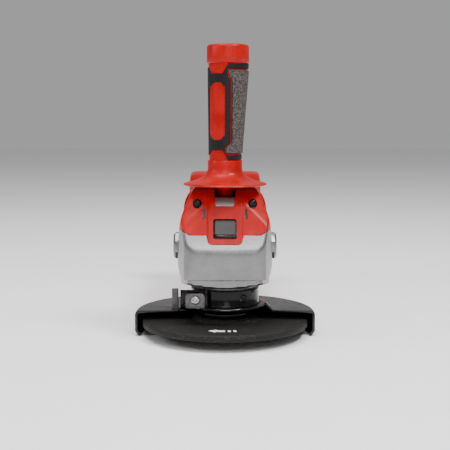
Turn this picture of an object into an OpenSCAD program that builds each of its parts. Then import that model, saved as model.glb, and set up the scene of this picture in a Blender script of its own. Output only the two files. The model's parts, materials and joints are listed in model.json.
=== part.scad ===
// Angle grinder with a 125 mm disc. Millimetres, +Z up, nose towards -Y.
// The disc spindle is vertical and the motor shaft lies along Y.
// The origin is under the middle of the tool, level with the guard's lower rim.

/* [Disc] */
// Diameter of the grinding disc
disc_d = 125; // [115:1:128]
// Thickness of the disc
disc_t = 5; // [2:0.5:6.5]
// How far the disc's hub is raised above its rim
disc_rise = 3.4; // [2:0.1:4.5]
// Height of the disc's lower face above the guard's rim
disc_z = 7.5; // [6:0.5:10]
// Bore of the disc
disc_bore_d = 22.23; // [22:0.01:23]
// Diameter of the raised hub
disc_hub_d = 48; // [46:1:56]

/* [Guard] */
// Outer diameter of the guard
guard_d = 137; // [134:1:160]
// Thickness of the guard's sheet
guard_sheet = 1.8; // [1.2:0.1:2.4]
// Height of the guard's flat top
guard_top_z = 19.5; // [18:0.5:22]
// Angle that the guard covers
guard_sweep = 190; // [150:1:220]
// Height of the sloping lip at the guard's rim
guard_lip_h = 4; // [2:0.5:5]
// How far the lip leans inwards
guard_lip_in = 2.9; // [1:0.1:4]
// Rise of the dish round the collar
guard_dish_h = 5.7; // [4:0.1:7]
// Height of the clamping band
band_h = 12.5; // [8:0.5:13.5]
// Thickness of the clamping band
band_t = 1.9; // [1.2:0.1:2.5]
// Diameter of the collar that the band grips
collar_d = 47.8; // [44:0.1:52]
// Gap between the two ears of the band
ear_gap = 3.5; // [2:0.5:5]

/* [Spindle] */
// Thread diameter of the spindle
spindle_thread_d = 14; // [10:1:16]
// Diameter of the spindle at its ball bearing
spindle_bearing_d = 12; // [10:1:14]
// Outer diameter of the spindle bearing
spindle_bearing_od = 32; // [30:1:34]
// Width of the spindle bearing
spindle_bearing_w = 10; // [9:0.5:11]
// Diameter of the spindle inside the crown gear
crown_seat_d = 10; // [8:0.5:10.5]
// Diameter of the spindle's top journal
top_journal_d = 8; // [6:0.5:8.5]

/* [Gears] */
// Pitch diameter of the crown gear
crown_pitch_d = 42; // [40:0.5:44]
// Teeth on the crown gear, a multiple of four
crown_teeth = 36; // [32:4:40]
// Teeth on the pinion
pinion_teeth = 12; // [11:1:13]
// Pressure angle of the teeth
pressure_angle = 24; // [20:1:25]
// Share of the pitch that a tooth fills
tooth_fill = 0.40; // [0.3:0.01:0.44]

/* [Gear head] */
// Width of the gear head
head_w = 71.8; // [70:0.5:90]
// Reach of the head in front of the spindle
head_nose = 37; // [36:0.5:46]
// Reach of the head behind the spindle
head_rear = 38; // [38:0.5:40]
// Height of the bearing plate's lower face
head_z = 39; // [38.5:0.5:40]
// Thickness of the bearing plate
plate_t = 8.3; // [7:0.1:8.5]
// Height of the top of the head cover
head_top = 112.5; // [111:0.5:118]
// Height of the front ridge
ridge_z = 69.5; // [68:0.5:71]
// Width of the head at the top
crown_w = 50.4; // [48:0.5:56]
// Height of the lower edge of the head cover
cover_edge_z = 82; // [81:0.5:84]
// Wall of the head cover
cover_t = 2.2; // [1.6:0.1:2.4]

/* [Handle sockets] */
// Bore of the handle sockets
socket_d = 8.1; // [6.1:0.1:8.6]
// Height of the two side sockets
socket_z = 68.7; // [67:0.5:70]
// Diameter of the socket bosses
boss_d = 19; // [16:0.5:19]
// How far a side boss stands out of the head
boss_out = 2.7; // [1:0.1:5]
// Metal left between a side socket and the gear chamber
socket_floor = 2.4; // [1.5:0.1:3]
// Height of the top socket's face
top_face_z = 104; // [103.5:0.5:105]
// Depth of the top socket
top_socket_len = 12; // [9:0.5:12.5]

/* [Spindle lock] */
// Diameter of the lock pin
lock_pin_d = 4.5; // [3.5:0.1:4.6]
// Distance from the spindle to the lock pin
lock_r = 10.5; // [10:0.1:10.8]
// Travel of the lock button
lock_travel = 2.8; // [2:0.1:3]
// Width of the lock button
button_w = 15.2; // [13:0.1:16]
// Height of the lock button
button_h = 10.1; // [9:0.1:10.4]
// Height of the underside of the lock button
button_z = 80.2; // [80:0.1:80.5]

/* [Motor] */
// Height of the motor shaft
motor_z = 77.5; // [77:0.5:78.5]
// Diameter of the stator
stator_d = 56; // [54:0.5:57]
// Length of the stator and the armature core
core_len = 38; // [30:1:38]
// Diameter of the armature
armature_d = 33; // [30:0.5:33.6]
// Air gap between armature and stator
air_gap = 0.7; // [0.4:0.1:1]
// Diameter of the fan
fan_d = 52; // [48:0.5:54]
// Diameter of the motor shaft
shaft_d = 8; // [7:0.5:9]
// Diameter of the commutator
commutator_d = 22; // [20:0.5:24]

/* [Body] */
// Width of the motor housing
motor_w = 63; // [62:0.5:68]
// Width of the flange that meets the gear head
flange_w = 66; // [65.5:0.5:70]
// Distance from the spindle to the rear face of the body
tail_reach = 245; // [240:1:300]
// Width of the rear grip
grip_w = 56; // [54:0.5:64]
// Height of the rear grip
grip_h = 60; // [56:0.5:64]
// Width of the tail
tail_w = 69; // [60:0.5:72]
// Height of the tail
tail_h = 67; // [62:0.5:70]
// Wall of the rear shells
shell_t = 2.5; // [1.8:0.1:2.8]
// Bore of the cord inlet
inlet_d = 8.4; // [7:0.1:10]
// Travel of the slide switch
switch_travel = 7; // [5:0.5:8]

/* [Side handle] */
// Diameter of the handle's flange
handle_flange_d = 62.7; // [50:0.1:64]
// Diameter of the handle's neck
handle_neck_d = 25.7; // [24:0.1:32]
// Diameter of the handle's cap
handle_cap_d = 31.5; // [28:0.1:36]
// Length of the rubber sleeve
handle_grip_len = 71.2; // [60:0.1:100]
// Length of the cap
handle_cap_len = 14.1; // [10:0.1:18]
// How far the cap leans off the handle's axis
handle_lean = 2.4; // [0:0.1:3]
// Thread diameter of the handle's stud
handle_stud_d = 8; // [6:0.1:8.5]

/* [Hidden] */
$fn = 64;
// Running clearance between a shaft and its bore
run = 0.05;
// Gap between a fixed piece and the pocket that it drops into
drop = 0.15;
// How far a cutting shape runs past the face that it cuts
past = 1;
// How far the cord inlet stands out of the rear face
inlet_out = 2;

// Places along Z
disc_hub_z = disc_z + disc_rise;
flange_z = disc_hub_z + disc_t;
inner_flange_t = 6.1;
shoulder_z = flange_z + inner_flange_t + 0.2;
dish_top_z = guard_top_z + guard_dish_h;
seam_z = head_z + plate_t;
widest_z = seam_z + 8.2;
bearing_z = seam_z - 1.3;
bearing_top_z = bearing_z + spindle_bearing_w;
retainer_t = 1.5;
crown_back_z = bearing_top_z + 4;

// Bevel gears, whose cones share the point where the two shafts cross
pinion_pitch_d = crown_pitch_d * pinion_teeth / crown_teeth;
cone_len = norm([crown_pitch_d, pinion_pitch_d]) / 2;
crown_cone = atan(crown_pitch_d / pinion_pitch_d);
gear_module = crown_pitch_d / crown_teeth;
addendum = 0.8 * gear_module;
dedendum = 1.05 * gear_module;
crown_r = crown_pitch_d / 2 + 1.3;
tooth_inner_r = crown_r - 8.3;
web_z = motor_z - tooth_inner_r / tan(crown_cone - atan(dedendum / cone_len));
chamber_r = crown_r + 1.9;
chamber_top_z = web_z + 3.8;

// Head
head_r = head_w / 2;
seam_r = head_r - 2.9;
edge_r = head_r - 2;
crown_r2 = crown_w / 2;
shoulder_r = (edge_r + crown_r2) / 2 + 1.5;
housing_top_z = top_face_z + 2;
boss_face = head_r + boss_out;
side_socket_len = boss_face - chamber_r - socket_floor;
collar_r = collar_d / 2;
band_r = collar_r + 0.1;
plate_screw_at = [21, 22];
housing_screw_x = 27.5;
housing_screw_low = 24;
upper_screw_x = 20;
upper_screw_up = 21.5;
// the four screws between the gear head and the motor housing: shank, seats along the shaft,
// and the groove that lets a driver reach the lower two from behind
housing_screw_r = 2;
upper_seat_start = 13;
upper_seat_y = 28;
lower_seat_y = 50;
screw_groove_r = 3.9;
cover_screw_x = 20.3;
cover_screw_y = -13.8;
cover_screw_z = head_top - 11;

bearing_boss_r = spindle_bearing_od / 2 + 4.5;
retainer_screw_at = spindle_bearing_od / 2 + 2.3;
retainer_screw_r = 1.2;
retainer_bore_r = 13.4;
seal_r = 12;
seal_t = 4;
bush_r = 6.5;
bush_h = 7;
bush_z = motor_z + 5.5;

// Disc fixings
inner_flange_r = 20;
inner_flange_rim_t = 4;
inner_flange_hub_r = 15;
nut_r = 19;
nut_t = 5;
nut_hole_at = 15;

// Guard and band: the raised dish, the upright tab, and the clamp's ears, screw, nut and hook
dish_in_r = 26.5;
dish_r = 31;
dish_foot_r = 37.4;
tab_x = -40.2;
tab_w = 5;
tab_t = 2.5;
tab_h = 17.5;
ear_y = -26;
ear_t = 2;
band_screw_x = -21.8;
band_screw_r = 2;
band_nut_w = 7;
hook_window = [5.3, 12, 4];

// Lock
slot_floor_z = button_z - 0.2;
recess_floor_z = button_z - lock_travel - 0.2;
arm_z = slot_floor_z + 5;
arm_t = 4;
pin_rest_z = web_z + 0.8;
slot_w = 6.8;
lock_holes = 4;

// Motor, as distances behind the spindle
pinion_y0 = 14.5;
pinion_y1 = crown_pitch_d / 2 + 0.3;
front_bearing_y = 26;
front_bearing_w = 8;
front_bearing_d = 10;
front_bearing_od = 26;
fan_y = 41;
fan_w = 12;
baffle_y = 56;
core_y = 62;
core_end = core_y + core_len;
winding_len = 8;
commutator_y = core_end + winding_len + 2;
commutator_len = 14;
brush_y = commutator_y + 7;
rear_bearing_y = commutator_y + commutator_len + 6;
rear_bearing_w = 6;
rear_bearing_d = 7;
rear_bearing_od = 19;
housing_end = rear_bearing_y - 2;
spigot_end = rear_bearing_y + rear_bearing_w + 1.5;
flange_end = head_rear + 20;
flange_corner = 14;
motor_corner = 22;
armature_slots = 12;
commutator_bars = 24;
fan_blades = 15;
fan_hub_r = 8;
brush_size = [10, 6.4, 4.6];
brush_cap_r = 6;
brush_cap_h = 4.6;
bore_r = stator_d / 2 + drop;
pinion_bore_r = 3;

// Body and slide switch
grip_start = housing_end + 20;
grip_end = tail_reach - 40;
tail_start = tail_reach - 19;
slider_y = grip_start + 9;
slider_len = 22;
slider_z = motor_z + 6;
stem_w = 6;
stem_len = 9;
inlet_z = motor_z - 8;
switch_y = slider_y + 18;

// Handle
flange_rest_z = head_top + 1.3;
handle_flange_t = 4.2;
sleeve_z = flange_rest_z + 19.3;
cap_z = sleeve_z + handle_grip_len;
stem_r = 6.85;
core_rod_r = 8;

// The middle of the whole tool is at y = 0, so the spindle stands in front of it
spindle_y = -(tail_reach + inlet_out - disc_d / 2) / 2;

// ---------------------------------------------------------------- helpers

module at_spindle(z = 0) {
  translate([0, spindle_y, z]) children();
}

// Local Z runs backwards along the motor shaft, from y behind the spindle
module on_shaft(y = 0) {
  translate([0, spindle_y + y, motor_z]) rotate([-90, 0, 0]) children();
}

// A ring, or a disc when the inner radius is 0
module ring(r_out, r_in, h) {
  difference() {
    cylinder(r = r_out, h = h);
    if (r_in > 0) translate([0, 0, -past]) cylinder(r = r_in, h = h + 2 * past);
  }
}

// A front outline (x across, z up) carried from y0 back to y1
module front_prism(y0, y1) {
  translate([0, y1, 0]) rotate([90, 0, 0]) linear_extrude(y1 - y0) children();
}

// A side outline (y along, z up) carried from x0 to x1
module side_prism(x0, x1) {
  translate([x0, 0, 0]) rotate([90, 0, 90]) linear_extrude(x1 - x0) children();
}

// A pan-head screw standing on z = 0 with its shank below, and a cross recess
module pan_screw(head_r, head_h, shank_r, shank_len) {
  difference() {
    union() {
      cylinder(r = head_r, h = head_h, $fn = 32);
      translate([0, 0, -shank_len]) cylinder(r = shank_r, h = shank_len, $fn = 32);
    }
    for (a = [0, 90]) rotate(a)
      translate([-head_r * 0.6, -head_r * 0.12, head_h * 0.5])
        cube([head_r * 1.2, head_r * 0.24, head_h]);
  }
}

// A square with round corners, centred
module round_square(w, h, r) {
  translate([-w / 2 + r, -h / 2]) square([w - 2 * r, h]);
  translate([-w / 2, -h / 2 + r]) square([w, h - 2 * r]);
  for (x = [-1, 1], y = [-1, 1])
    translate([x * (w / 2 - r), y * (h / 2 - r)]) circle(r = r, $fn = 48);
}

// Ball bearing of two rings and a row of balls between them
module ball_bearing(d, od, w, balls) {
  wall = (od - d) / 2;
  mid = (od + d) / 4;
  ring(od / 2, od / 2 - wall * 0.28, w);
  ring(d / 2 + wall * 0.28, d / 2, w);
  for (k = [0 : balls - 1]) rotate(k * 360 / balls)
    translate([mid, 0, w / 2]) sphere(r = wall * 0.2, $fn = 24);
}

// Part of a ring between two angles
function arc(r, a0, a1, n = 14) = [for (k = [0 : n]) let (a = a0 + (a1 - a0) * k / n) r * [cos(a), sin(a)]];
module sector(r_in, r_out, a0, a1) {
  polygon(concat(arc(r_out, a0, a1), arc(r_in, a1, a0)));
}

// ---------------------------------------------------------------- bevel gears

// Section of a bevel gear square to its own axis, at distance depth from the shared point
function bevel_section(teeth, cone, depth) =
  let (
    pitch_r = depth * tan(cone),
    tip_r = depth * tan(cone + atan(addendum / cone_len)),
    root_r = depth * tan(cone - atan(dedendum / cone_len)),
    half_pitch = 180 * tooth_fill / teeth,
    lean = tan(pressure_angle) * cos(cone),
    tip_half = half_pitch * pitch_r / tip_r - (tip_r - pitch_r) * lean / tip_r * 180 / PI,
    root_half = half_pitch * pitch_r / root_r + (pitch_r - root_r) * lean / root_r * 180 / PI
  )
  [for (k = [0 : teeth - 1]) let (a = 360 * k / teeth)
    each [
      root_r * [cos(a - root_half), sin(a - root_half)],
      pitch_r * [cos(a - half_pitch), sin(a - half_pitch)],
      tip_r * [cos(a - tip_half), sin(a - tip_half)],
      tip_r * [cos(a + tip_half), sin(a + tip_half)],
      pitch_r * [cos(a + half_pitch), sin(a + half_pitch)],
      root_r * [cos(a + root_half), sin(a + root_half)]
    ]];

// Teeth that shrink towards the shared point, which lies at z = 0 above them
module bevel_teeth(teeth, cone, near, far) {
  translate([0, 0, -far])
    linear_extrude(far - near, scale = near / far) polygon(bevel_section(teeth, cone, far));
}

// ---------------------------------------------------------------- gear head

module head_front_2d() {
  right = [
    [seam_r, seam_z], [head_r, widest_z], [head_r - 0.6, socket_z], [edge_r, cover_edge_z],
    [shoulder_r, head_top - 14], [crown_r2 + 1.5, head_top - 6], [crown_r2, head_top - 2],
    [crown_r2 - 2.5, head_top]
  ];
  left = [for (k = [len(right) - 1 : -1 : 0]) [-right[k][0], right[k][1]]];
  polygon(concat(right, left));
}

module head_side_2d() {
  polygon([
    [3 - head_nose, seam_z], [0.8 - head_nose, widest_z], [-head_nose, ridge_z - 3],
    [0.8 - head_nose, ridge_z], [22 - head_nose, head_top - 3], [25 - head_nose, head_top],
    [head_rear + 20, head_top], [head_rear + 20, seam_z]
  ]);
}

module head_top_2d() {
  offset(r = 5, $fn = 32) offset(delta = -5) polygon([
    [head_r, head_rear + 20], [head_r, -9], [27, 7 - head_nose], [13, -head_nose],
    [-13, -head_nose], [-27, 7 - head_nose], [-head_r, -9], [-head_r, head_rear + 20]
  ]);
}

// The head's outer form, or the form inside it at a given depth
module head_form(inset) {
  intersection() {
    front_prism(-head_nose - past, head_rear) offset(delta = -inset) head_front_2d();
    side_prism(-head_r - past, head_r + past) offset(delta = -inset) head_side_2d();
    translate([0, 0, seam_z]) linear_extrude(head_top) offset(delta = -inset) head_top_2d();
  }
}

// The stretch of the head that the cover wraps, with its tongue down the front
module cover_zone() {
  front_prism(-head_nose - past, head_rear) polygon([
    [-head_r - 1, head_top + 1], [-head_r - 1, cover_edge_z + 1.5], [1.5 - head_r, cover_edge_z + 1.5],
    [-25, cover_edge_z - 1.7], [-12.9, cover_edge_z - 1.7], [-12.2, recess_floor_z - 2.4],
    [-9, recess_floor_z - 3.8], [9, recess_floor_z - 3.8], [12.2, recess_floor_z - 2.4],
    [12.9, cover_edge_z - 1.7], [25, cover_edge_z - 1.7], [head_r - 1.5, cover_edge_z + 1.5],
    [head_r + 1, cover_edge_z + 1.5], [head_r + 1, head_top + 1]
  ]);
}

module button_recess(grow) {
  translate([-button_w / 2 - grow, -head_nose - past, recess_floor_z])
    cube([button_w + 2 * grow, head_nose - 20 + past, button_h + lock_travel + 1]);
}

module gear_housing() {
  color("silver") at_spindle() difference() {
    union() {
      difference() {
        head_form(0);
        cover_zone();
      }
      intersection() {
        head_form(cover_t + 0.2);
        translate([-head_r, -head_nose, seam_z])
          cube([head_w, head_nose + head_rear, housing_top_z - seam_z]);
      }
      for (s = [-1, 1]) translate([s * (head_r - 4), 0, socket_z]) rotate([0, 90 * s, 0]) {
        cylinder(r = boss_d / 2, h = 4 + boss_out - 0.8);
        cylinder(r = boss_d / 2 - 1, h = 4 + boss_out);
      }
    }
    // gear chamber, and the bore for the pinion and the front bearing
    translate([0, 0, seam_z - past]) cylinder(r = chamber_r, h = chamber_top_z - seam_z + past);
    translate([0, 7, motor_z]) rotate([-90, 0, 0]) cylinder(r = 10.5, h = head_rear);
    translate([0, front_bearing_y, motor_z]) rotate([-90, 0, 0])
      cylinder(r = front_bearing_od / 2 + run, h = head_rear);
    translate([0, front_bearing_y + front_bearing_w, motor_z]) rotate([-90, 0, 0])
      cylinder(r = 17, h = head_rear);
    // journal room and pocket for the top bush
    cylinder(r = 6, h = bush_z);
    translate([0, 0, bush_z]) cylinder(r = bush_r + run, h = bush_h);
    // handle sockets
    for (s = [-1, 1]) translate([s * (boss_face + past), 0, socket_z]) rotate([0, -90 * s, 0])
      cylinder(r = socket_d / 2, h = side_socket_len + past);
    translate([0, 0, top_face_z - top_socket_len]) cylinder(r = socket_d / 2, h = 30);
    translate([0, 0, top_face_z]) cylinder(r = 11, h = 30);
    // lock button recess, arm slot and pin bore
    button_recess(1);
    translate([-slot_w / 2, -21, slot_floor_z]) cube([slot_w, 21 - lock_r + 3, arm_t + 6]);
    translate([0, -lock_r, chamber_top_z - past])
      cylinder(r = lock_pin_d / 2 + run, h = slot_floor_z - chamber_top_z + 2 * past);
    // screw holes for the plate, the cover and the motor housing
    for (x = [-1, 1], y = [-1, 1])
      translate([x * plate_screw_at[0], y * plate_screw_at[1], seam_z - past])
        cylinder(r = 2 + run, h = 14);
    for (s = [-1, 1]) translate([s * cover_screw_x, -head_nose, cover_screw_z]) rotate([-90, 0, 0]) {
      cylinder(r = 3.2, h = head_nose + cover_screw_y);
      cylinder(r = 1.5 + run, h = head_nose + 3);
    }
    for (s = [-1, 1]) {
      translate([s * housing_screw_x, upper_seat_start, motor_z - housing_screw_low]) rotate([-90, 0, 0])
        cylinder(r = housing_screw_r + run, h = 100);
      translate([s * upper_screw_x, upper_seat_start, motor_z + upper_screw_up]) rotate([-90, 0, 0])
        cylinder(r = housing_screw_r + run, h = 100);
      translate([s * (head_r + 1), 0, widest_z - 2]) cube([4, 22, 6], center = true);
    }
    translate([-head_r, upper_seat_start, housing_top_z - 12])
      cube([head_w, upper_seat_y - upper_seat_start, 20]);
  }
}

module bearing_plate() {
  color("silver") at_spindle() difference() {
    union() {
      translate([0, 0, head_z + 4]) linear_extrude(plate_t - 4) intersection() {
        offset(delta = seam_r - head_r) head_top_2d();
        translate([-50, -50]) square([100, 50 + head_rear - 8]);
      }
      translate([0, 0, head_z]) cylinder(r = seam_r - 8, h = 4);
      translate([0, 0, dish_top_z + 0.4]) cylinder(r = collar_r, h = head_z - dish_top_z);
      translate([0, 0, seam_z]) cylinder(r = bearing_boss_r, h = bearing_top_z - seam_z);
    }
    cylinder(r = 9, h = 200);
    translate([0, 0, bearing_z - 5]) cylinder(r = seal_r, h = seal_t);
    translate([0, 0, bearing_z]) cylinder(r = spindle_bearing_od / 2 + run, h = 30);
    for (x = [-1, 1], y = [-1, 1])
      translate([x * plate_screw_at[0], y * plate_screw_at[1], head_z]) {
        cylinder(r = 2 + run, h = 30);
        cylinder(r = 4, h = 6.6);
      }
    for (k = [0 : 2]) rotate(k * 120 + 90)
      translate([retainer_screw_at, 0, bearing_top_z - 6]) cylinder(r = retainer_screw_r + run, h = 10);
  }
}

module plate_screws() {
  color("dimgray") at_spindle(head_z + 6.6) for (x = [-1, 1], y = [-1, 1])
    translate([x * plate_screw_at[0], y * plate_screw_at[1], 0]) mirror([0, 0, 1])
      pan_screw(3.6, 2.4, 2, 13);
}

module head_cover() {
  color("crimson") at_spindle() difference() {
    intersection() {
      head_form(0);
      cover_zone();
    }
    head_form(cover_t);
    button_recess(1);
    // opening round the top socket, cut down the front slope
    translate([0, 0, housing_top_z]) cylinder(r = 8.6, h = 30);
    front_prism(-head_nose, 0) polygon([
      [-8.6, head_top + 1], [-6.6, head_top - 13], [6.6, head_top - 13], [8.6, head_top + 1]
    ]);
    // screw holes and air slots
    for (s = [-1, 1]) {
      translate([s * cover_screw_x, -30, cover_screw_z]) rotate([-90, 0, 0]) cylinder(r = 3.2, h = 30);
      translate([s * 15.4 - 0.9, -head_nose, head_top - 21]) cube([1.8, head_nose, 7]);
    }
  }
}

module cover_screws() {
  color("dimgray") at_spindle() for (s = [-1, 1])
    translate([s * cover_screw_x, cover_screw_y, cover_screw_z]) rotate([90, 0, 0]) pan_screw(2.9, 1.8, 1.5, 14);
}

module lock_button() {
  color("dimgray") at_spindle() difference() {
    union() {
      intersection() {
        head_form(0.4);
        translate([-button_w / 2, -head_nose, button_z]) cube([button_w, head_nose - 21, button_h]);
      }
      translate([-slot_w / 2 + 0.4, -23, arm_z]) cube([slot_w - 0.8, 23 - lock_r + 2.7, arm_t]);
    }
    translate([0, -lock_r, arm_z - past]) cylinder(r = lock_pin_d / 2, h = arm_t + past - 1);
  }
}

module lock_pin() {
  color("silver") at_spindle(pin_rest_z) translate([0, -lock_r, 0]) {
    cylinder(r1 = lock_pin_d / 2 - 0.4, r2 = lock_pin_d / 2, h = 0.6);
    translate([0, 0, 0.6]) cylinder(r = lock_pin_d / 2, h = arm_z + arm_t - 1.6 - pin_rest_z);
  }
}

// Points round one turn section of a coil of wire
function coil_ring(r, wire, a, z) = [for (k = [0 : 5]) let (b = 60 * k)
  [(r + wire * cos(b)) * cos(a), (r + wire * cos(b)) * sin(a), z + wire * sin(b)]];

// A coil spring standing on z = 0
module coil_spring(r, wire, turns, height) {
  steps = 14;
  count = ceil(turns * steps);
  points = [for (k = [0 : count])
    each coil_ring(r, wire, 360 * k / steps, wire + (height - 2 * wire) * k / count)];
  sides = [for (k = [0 : count - 1], s = [0 : 5]) let (t = (s + 1) % 6)
    [6 * k + s, 6 * (k + 1) + s, 6 * (k + 1) + t, 6 * k + t]];
  polyhedron(points, concat([[for (s = [0 : 5]) s]], sides, [[for (s = [5 : -1 : 0]) 6 * count + s]]));
}

module lock_spring() {
  color("gainsboro") at_spindle(slot_floor_z + 0.05) translate([0, -lock_r, 0])
    coil_spring(lock_pin_d / 2 + 0.55, 0.22, 4, arm_z - slot_floor_z - 0.1);
}

// ---------------------------------------------------------------- spindle

module spindle() {
  r = spindle_thread_d / 2;
  color("silver") at_spindle() {
    translate([0, 0, disc_z - 1]) cylinder(r1 = r - 1, r2 = r, h = 1);
    translate([0, 0, disc_z]) cylinder(r = r, h = shoulder_z - disc_z);
    translate([0, 0, shoulder_z]) cylinder(r = r + 1, h = bearing_z - shoulder_z);
    translate([0, 0, bearing_z]) cylinder(r = spindle_bearing_d / 2 - run, h = spindle_bearing_w);
    translate([0, 0, bearing_top_z]) cylinder(r = crown_seat_d / 2, h = web_z - bearing_top_z);
    translate([0, 0, web_z]) cylinder(r = top_journal_d / 2, h = motor_z + 12 - web_z);
  }
}

module crown_gear() {
  color("gray") at_spindle() difference() {
    union() {
      translate([0, 0, crown_back_z]) cylinder(r = crown_r, h = motor_z - 9.4 - crown_back_z);
      translate([0, 0, bearing_top_z]) cylinder(r = 8, h = 6);
      translate([0, 0, crown_back_z]) cylinder(r = tooth_inner_r + 0.5, h = web_z - crown_back_z);
      intersection() {
        translate([0, 0, motor_z]) rotate(90 + 180 / crown_teeth)
          bevel_teeth(crown_teeth, crown_cone, 3, 10);
        translate([0, 0, crown_back_z]) ring(crown_r, tooth_inner_r, 20);
      }
    }
    cylinder(r = crown_seat_d / 2, h = 200);
    for (k = [0 : lock_holes - 1]) rotate(k * 360 / lock_holes)
      translate([0, -lock_r, web_z - 5]) cylinder(r = lock_pin_d / 2 + 0.35, h = 20);
  }
}

module spindle_bearing() {
  color("lightgray") at_spindle(bearing_z)
    ball_bearing(spindle_bearing_d, spindle_bearing_od, spindle_bearing_w, 8);
}

module bearing_retainer() {
  color("gray") at_spindle(bearing_top_z) difference() {
    ring(bearing_boss_r, retainer_bore_r, retainer_t);
    for (k = [0 : 2]) rotate(k * 120 + 90)
      translate([retainer_screw_at, 0, -past]) cylinder(r = retainer_screw_r + run, h = 10);
  }
}

module retainer_screws() {
  color("dimgray") at_spindle(bearing_top_z + retainer_t) for (k = [0 : 2]) rotate(k * 120 + 90)
    translate([retainer_screw_at, 0, 0]) pan_screw(2, 1.4, retainer_screw_r, 6);
}

module spindle_seal() {
  color("tan") at_spindle(bearing_z - 5) ring(seal_r, spindle_thread_d / 2 + 1 + run, seal_t);
}

module top_bush() {
  color("goldenrod") at_spindle(bush_z) ring(bush_r, top_journal_d / 2 + run, bush_h);
}

module inner_flange() {
  color("black") at_spindle(flange_z) difference() {
    union() {
      cylinder(r = inner_flange_r, h = inner_flange_rim_t);
      cylinder(r = inner_flange_hub_r, h = inner_flange_t);
      translate([0, 0, -2.4]) cylinder(r = disc_bore_d / 2 - 0.1, h = 3);
    }
    translate([0, 0, -10]) cylinder(r = spindle_thread_d / 2 + run, h = 30);
  }
}

module grinding_disc() {
  r = disc_d / 2;
  hub = disc_hub_d / 2;
  color("dimgray") at_spindle() rotate_extrude($fn = 96) polygon([
    [disc_bore_d / 2, disc_hub_z], [hub - 1.5, disc_hub_z], [hub + 3.5, disc_z], [r - 0.5, disc_z],
    [r, disc_z + 0.5], [r, disc_z + disc_t - 0.5], [r - 0.5, disc_z + disc_t],
    [hub + 2.5, disc_z + disc_t], [hub - 2.5, flange_z], [disc_bore_d / 2, flange_z]
  ]);
}

module clamp_nut() {
  color("dimgray") at_spindle(disc_hub_z) difference() {
    union() {
      translate([0, 0, -nut_t]) cylinder(r = nut_r, h = nut_t);
      cylinder(r = disc_bore_d / 2 - 0.1, h = 2.3);
    }
    translate([0, 0, -10]) cylinder(r = spindle_thread_d / 2 + run, h = 30);
    for (k = [0 : 3]) rotate(45 + 90 * k) translate([nut_hole_at, 0, -nut_t - 1]) cylinder(r = 2, h = 4);
  }
}

// ---------------------------------------------------------------- guard

module guard_shell() {
  r = guard_d / 2;
  t = guard_sheet;
  profile = [
    [dish_in_r, dish_top_z], [dish_r, dish_top_z], [dish_foot_r, guard_top_z], [r - 2.5, guard_top_z],
    [r - 0.7, guard_top_z - 0.7], [r, guard_top_z - 2.5], [r, guard_lip_h], [r - guard_lip_in, 0],
    [r - guard_lip_in - t, 0.6], [r - t, guard_lip_h + 0.6], [r - t, guard_top_z - t - 1],
    [r - t - 1, guard_top_z - t], [dish_foot_r - 1, guard_top_z - t], [dish_r - 1, dish_top_z - t], [dish_in_r, dish_top_z - t]
  ];
  color("dimgray") at_spindle() {
    rotate([0, 0, 90 - guard_sweep / 2]) rotate_extrude(angle = guard_sweep, $fn = 96) polygon(profile);
    translate([0, 0, dish_top_z - t]) ring(dish_in_r + 1.5, collar_r + 0.2, t);
    translate([tab_x, -tab_t, guard_top_z - 1]) cube([tab_w, tab_t, tab_h]);
  }
}

module guard_band() {
  z = dish_top_z;
  color("black") at_spindle(z) difference() {
    union() {
      ring(band_r + band_t, band_r, band_h);
      translate([-29, ear_y, 0]) cube([16, ear_t, band_h]);
      translate([-15, ear_y, 0]) cube([ear_t, 6.4, band_h]);
      translate([-33, ear_y + ear_t + ear_gap, 0]) cube([15.4, 2.5, band_h]);
    }
    translate([0, 0, -past]) cylinder(r = band_r, h = band_h + 2 * past);
    translate([-17.4, ear_y + ear_t, -past]) cube([2.3, 8, band_h + 2 * past]);
    translate([band_screw_x, ear_y - 4, band_h / 2]) rotate([-90, 0, 0]) cylinder(r = band_screw_r + run, h = 14);
    translate([12, -30, band_h / 2 - 1]) cube(hook_window);
  }
}

module band_screw() {
  color("gainsboro") at_spindle(dish_top_z + band_h / 2) translate([band_screw_x, ear_y, 0])
    rotate([90, 0, 0]) pan_screw(3.35, 2.6, band_screw_r, 8.6);
}

module band_nut() {
  color("gray") at_spindle(dish_top_z + band_h / 2) translate([band_screw_x, ear_y + ear_t, 0]) difference() {
    translate([-band_nut_w / 2, 0.3, -band_nut_w / 2]) cube([band_nut_w, ear_gap - 0.5, band_nut_w]);
    rotate([-90, 0, 0]) cylinder(r = band_screw_r + run, h = 20, center = true);
  }
}

// ---------------------------------------------------------------- motor

module armature_shaft() {
  r = shaft_d / 2;
  color("silver") {
    on_shaft(7.6) cylinder(r = pinion_bore_r, h = pinion_y1 - 7.6);
    on_shaft(pinion_y1) cylinder(r = front_bearing_d / 2 - run, h = 36 - pinion_y1);
    on_shaft(36) cylinder(r = r, h = rear_bearing_y - 36);
    on_shaft(rear_bearing_y) cylinder(r = rear_bearing_d / 2 - run, h = rear_bearing_w + 1);
  }
}

module pinion() {
  color("gray") difference() {
    translate([0, spindle_y, motor_z]) rotate([90, 0, 0]) rotate(90)
      bevel_teeth(pinion_teeth, 90 - crown_cone, pinion_y0, pinion_y1);
    on_shaft() cylinder(r = pinion_bore_r, h = 100);
  }
}

module pinion_nut() {
  color("dimgray") on_shaft(pinion_y0 - 4.1) difference() {
    cylinder(r = 4.55, h = 4, $fn = 6);
    translate([0, 0, -past]) cylinder(r = pinion_bore_r, h = 6, $fn = 64);
  }
}

module front_bearing() {
  color("lightgray") on_shaft(front_bearing_y)
    ball_bearing(front_bearing_d, front_bearing_od, front_bearing_w, 7);
}

module front_retainer() {
  color("gray") on_shaft(front_bearing_y + front_bearing_w) ring(16.8, 11, 1.5);
}

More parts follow.
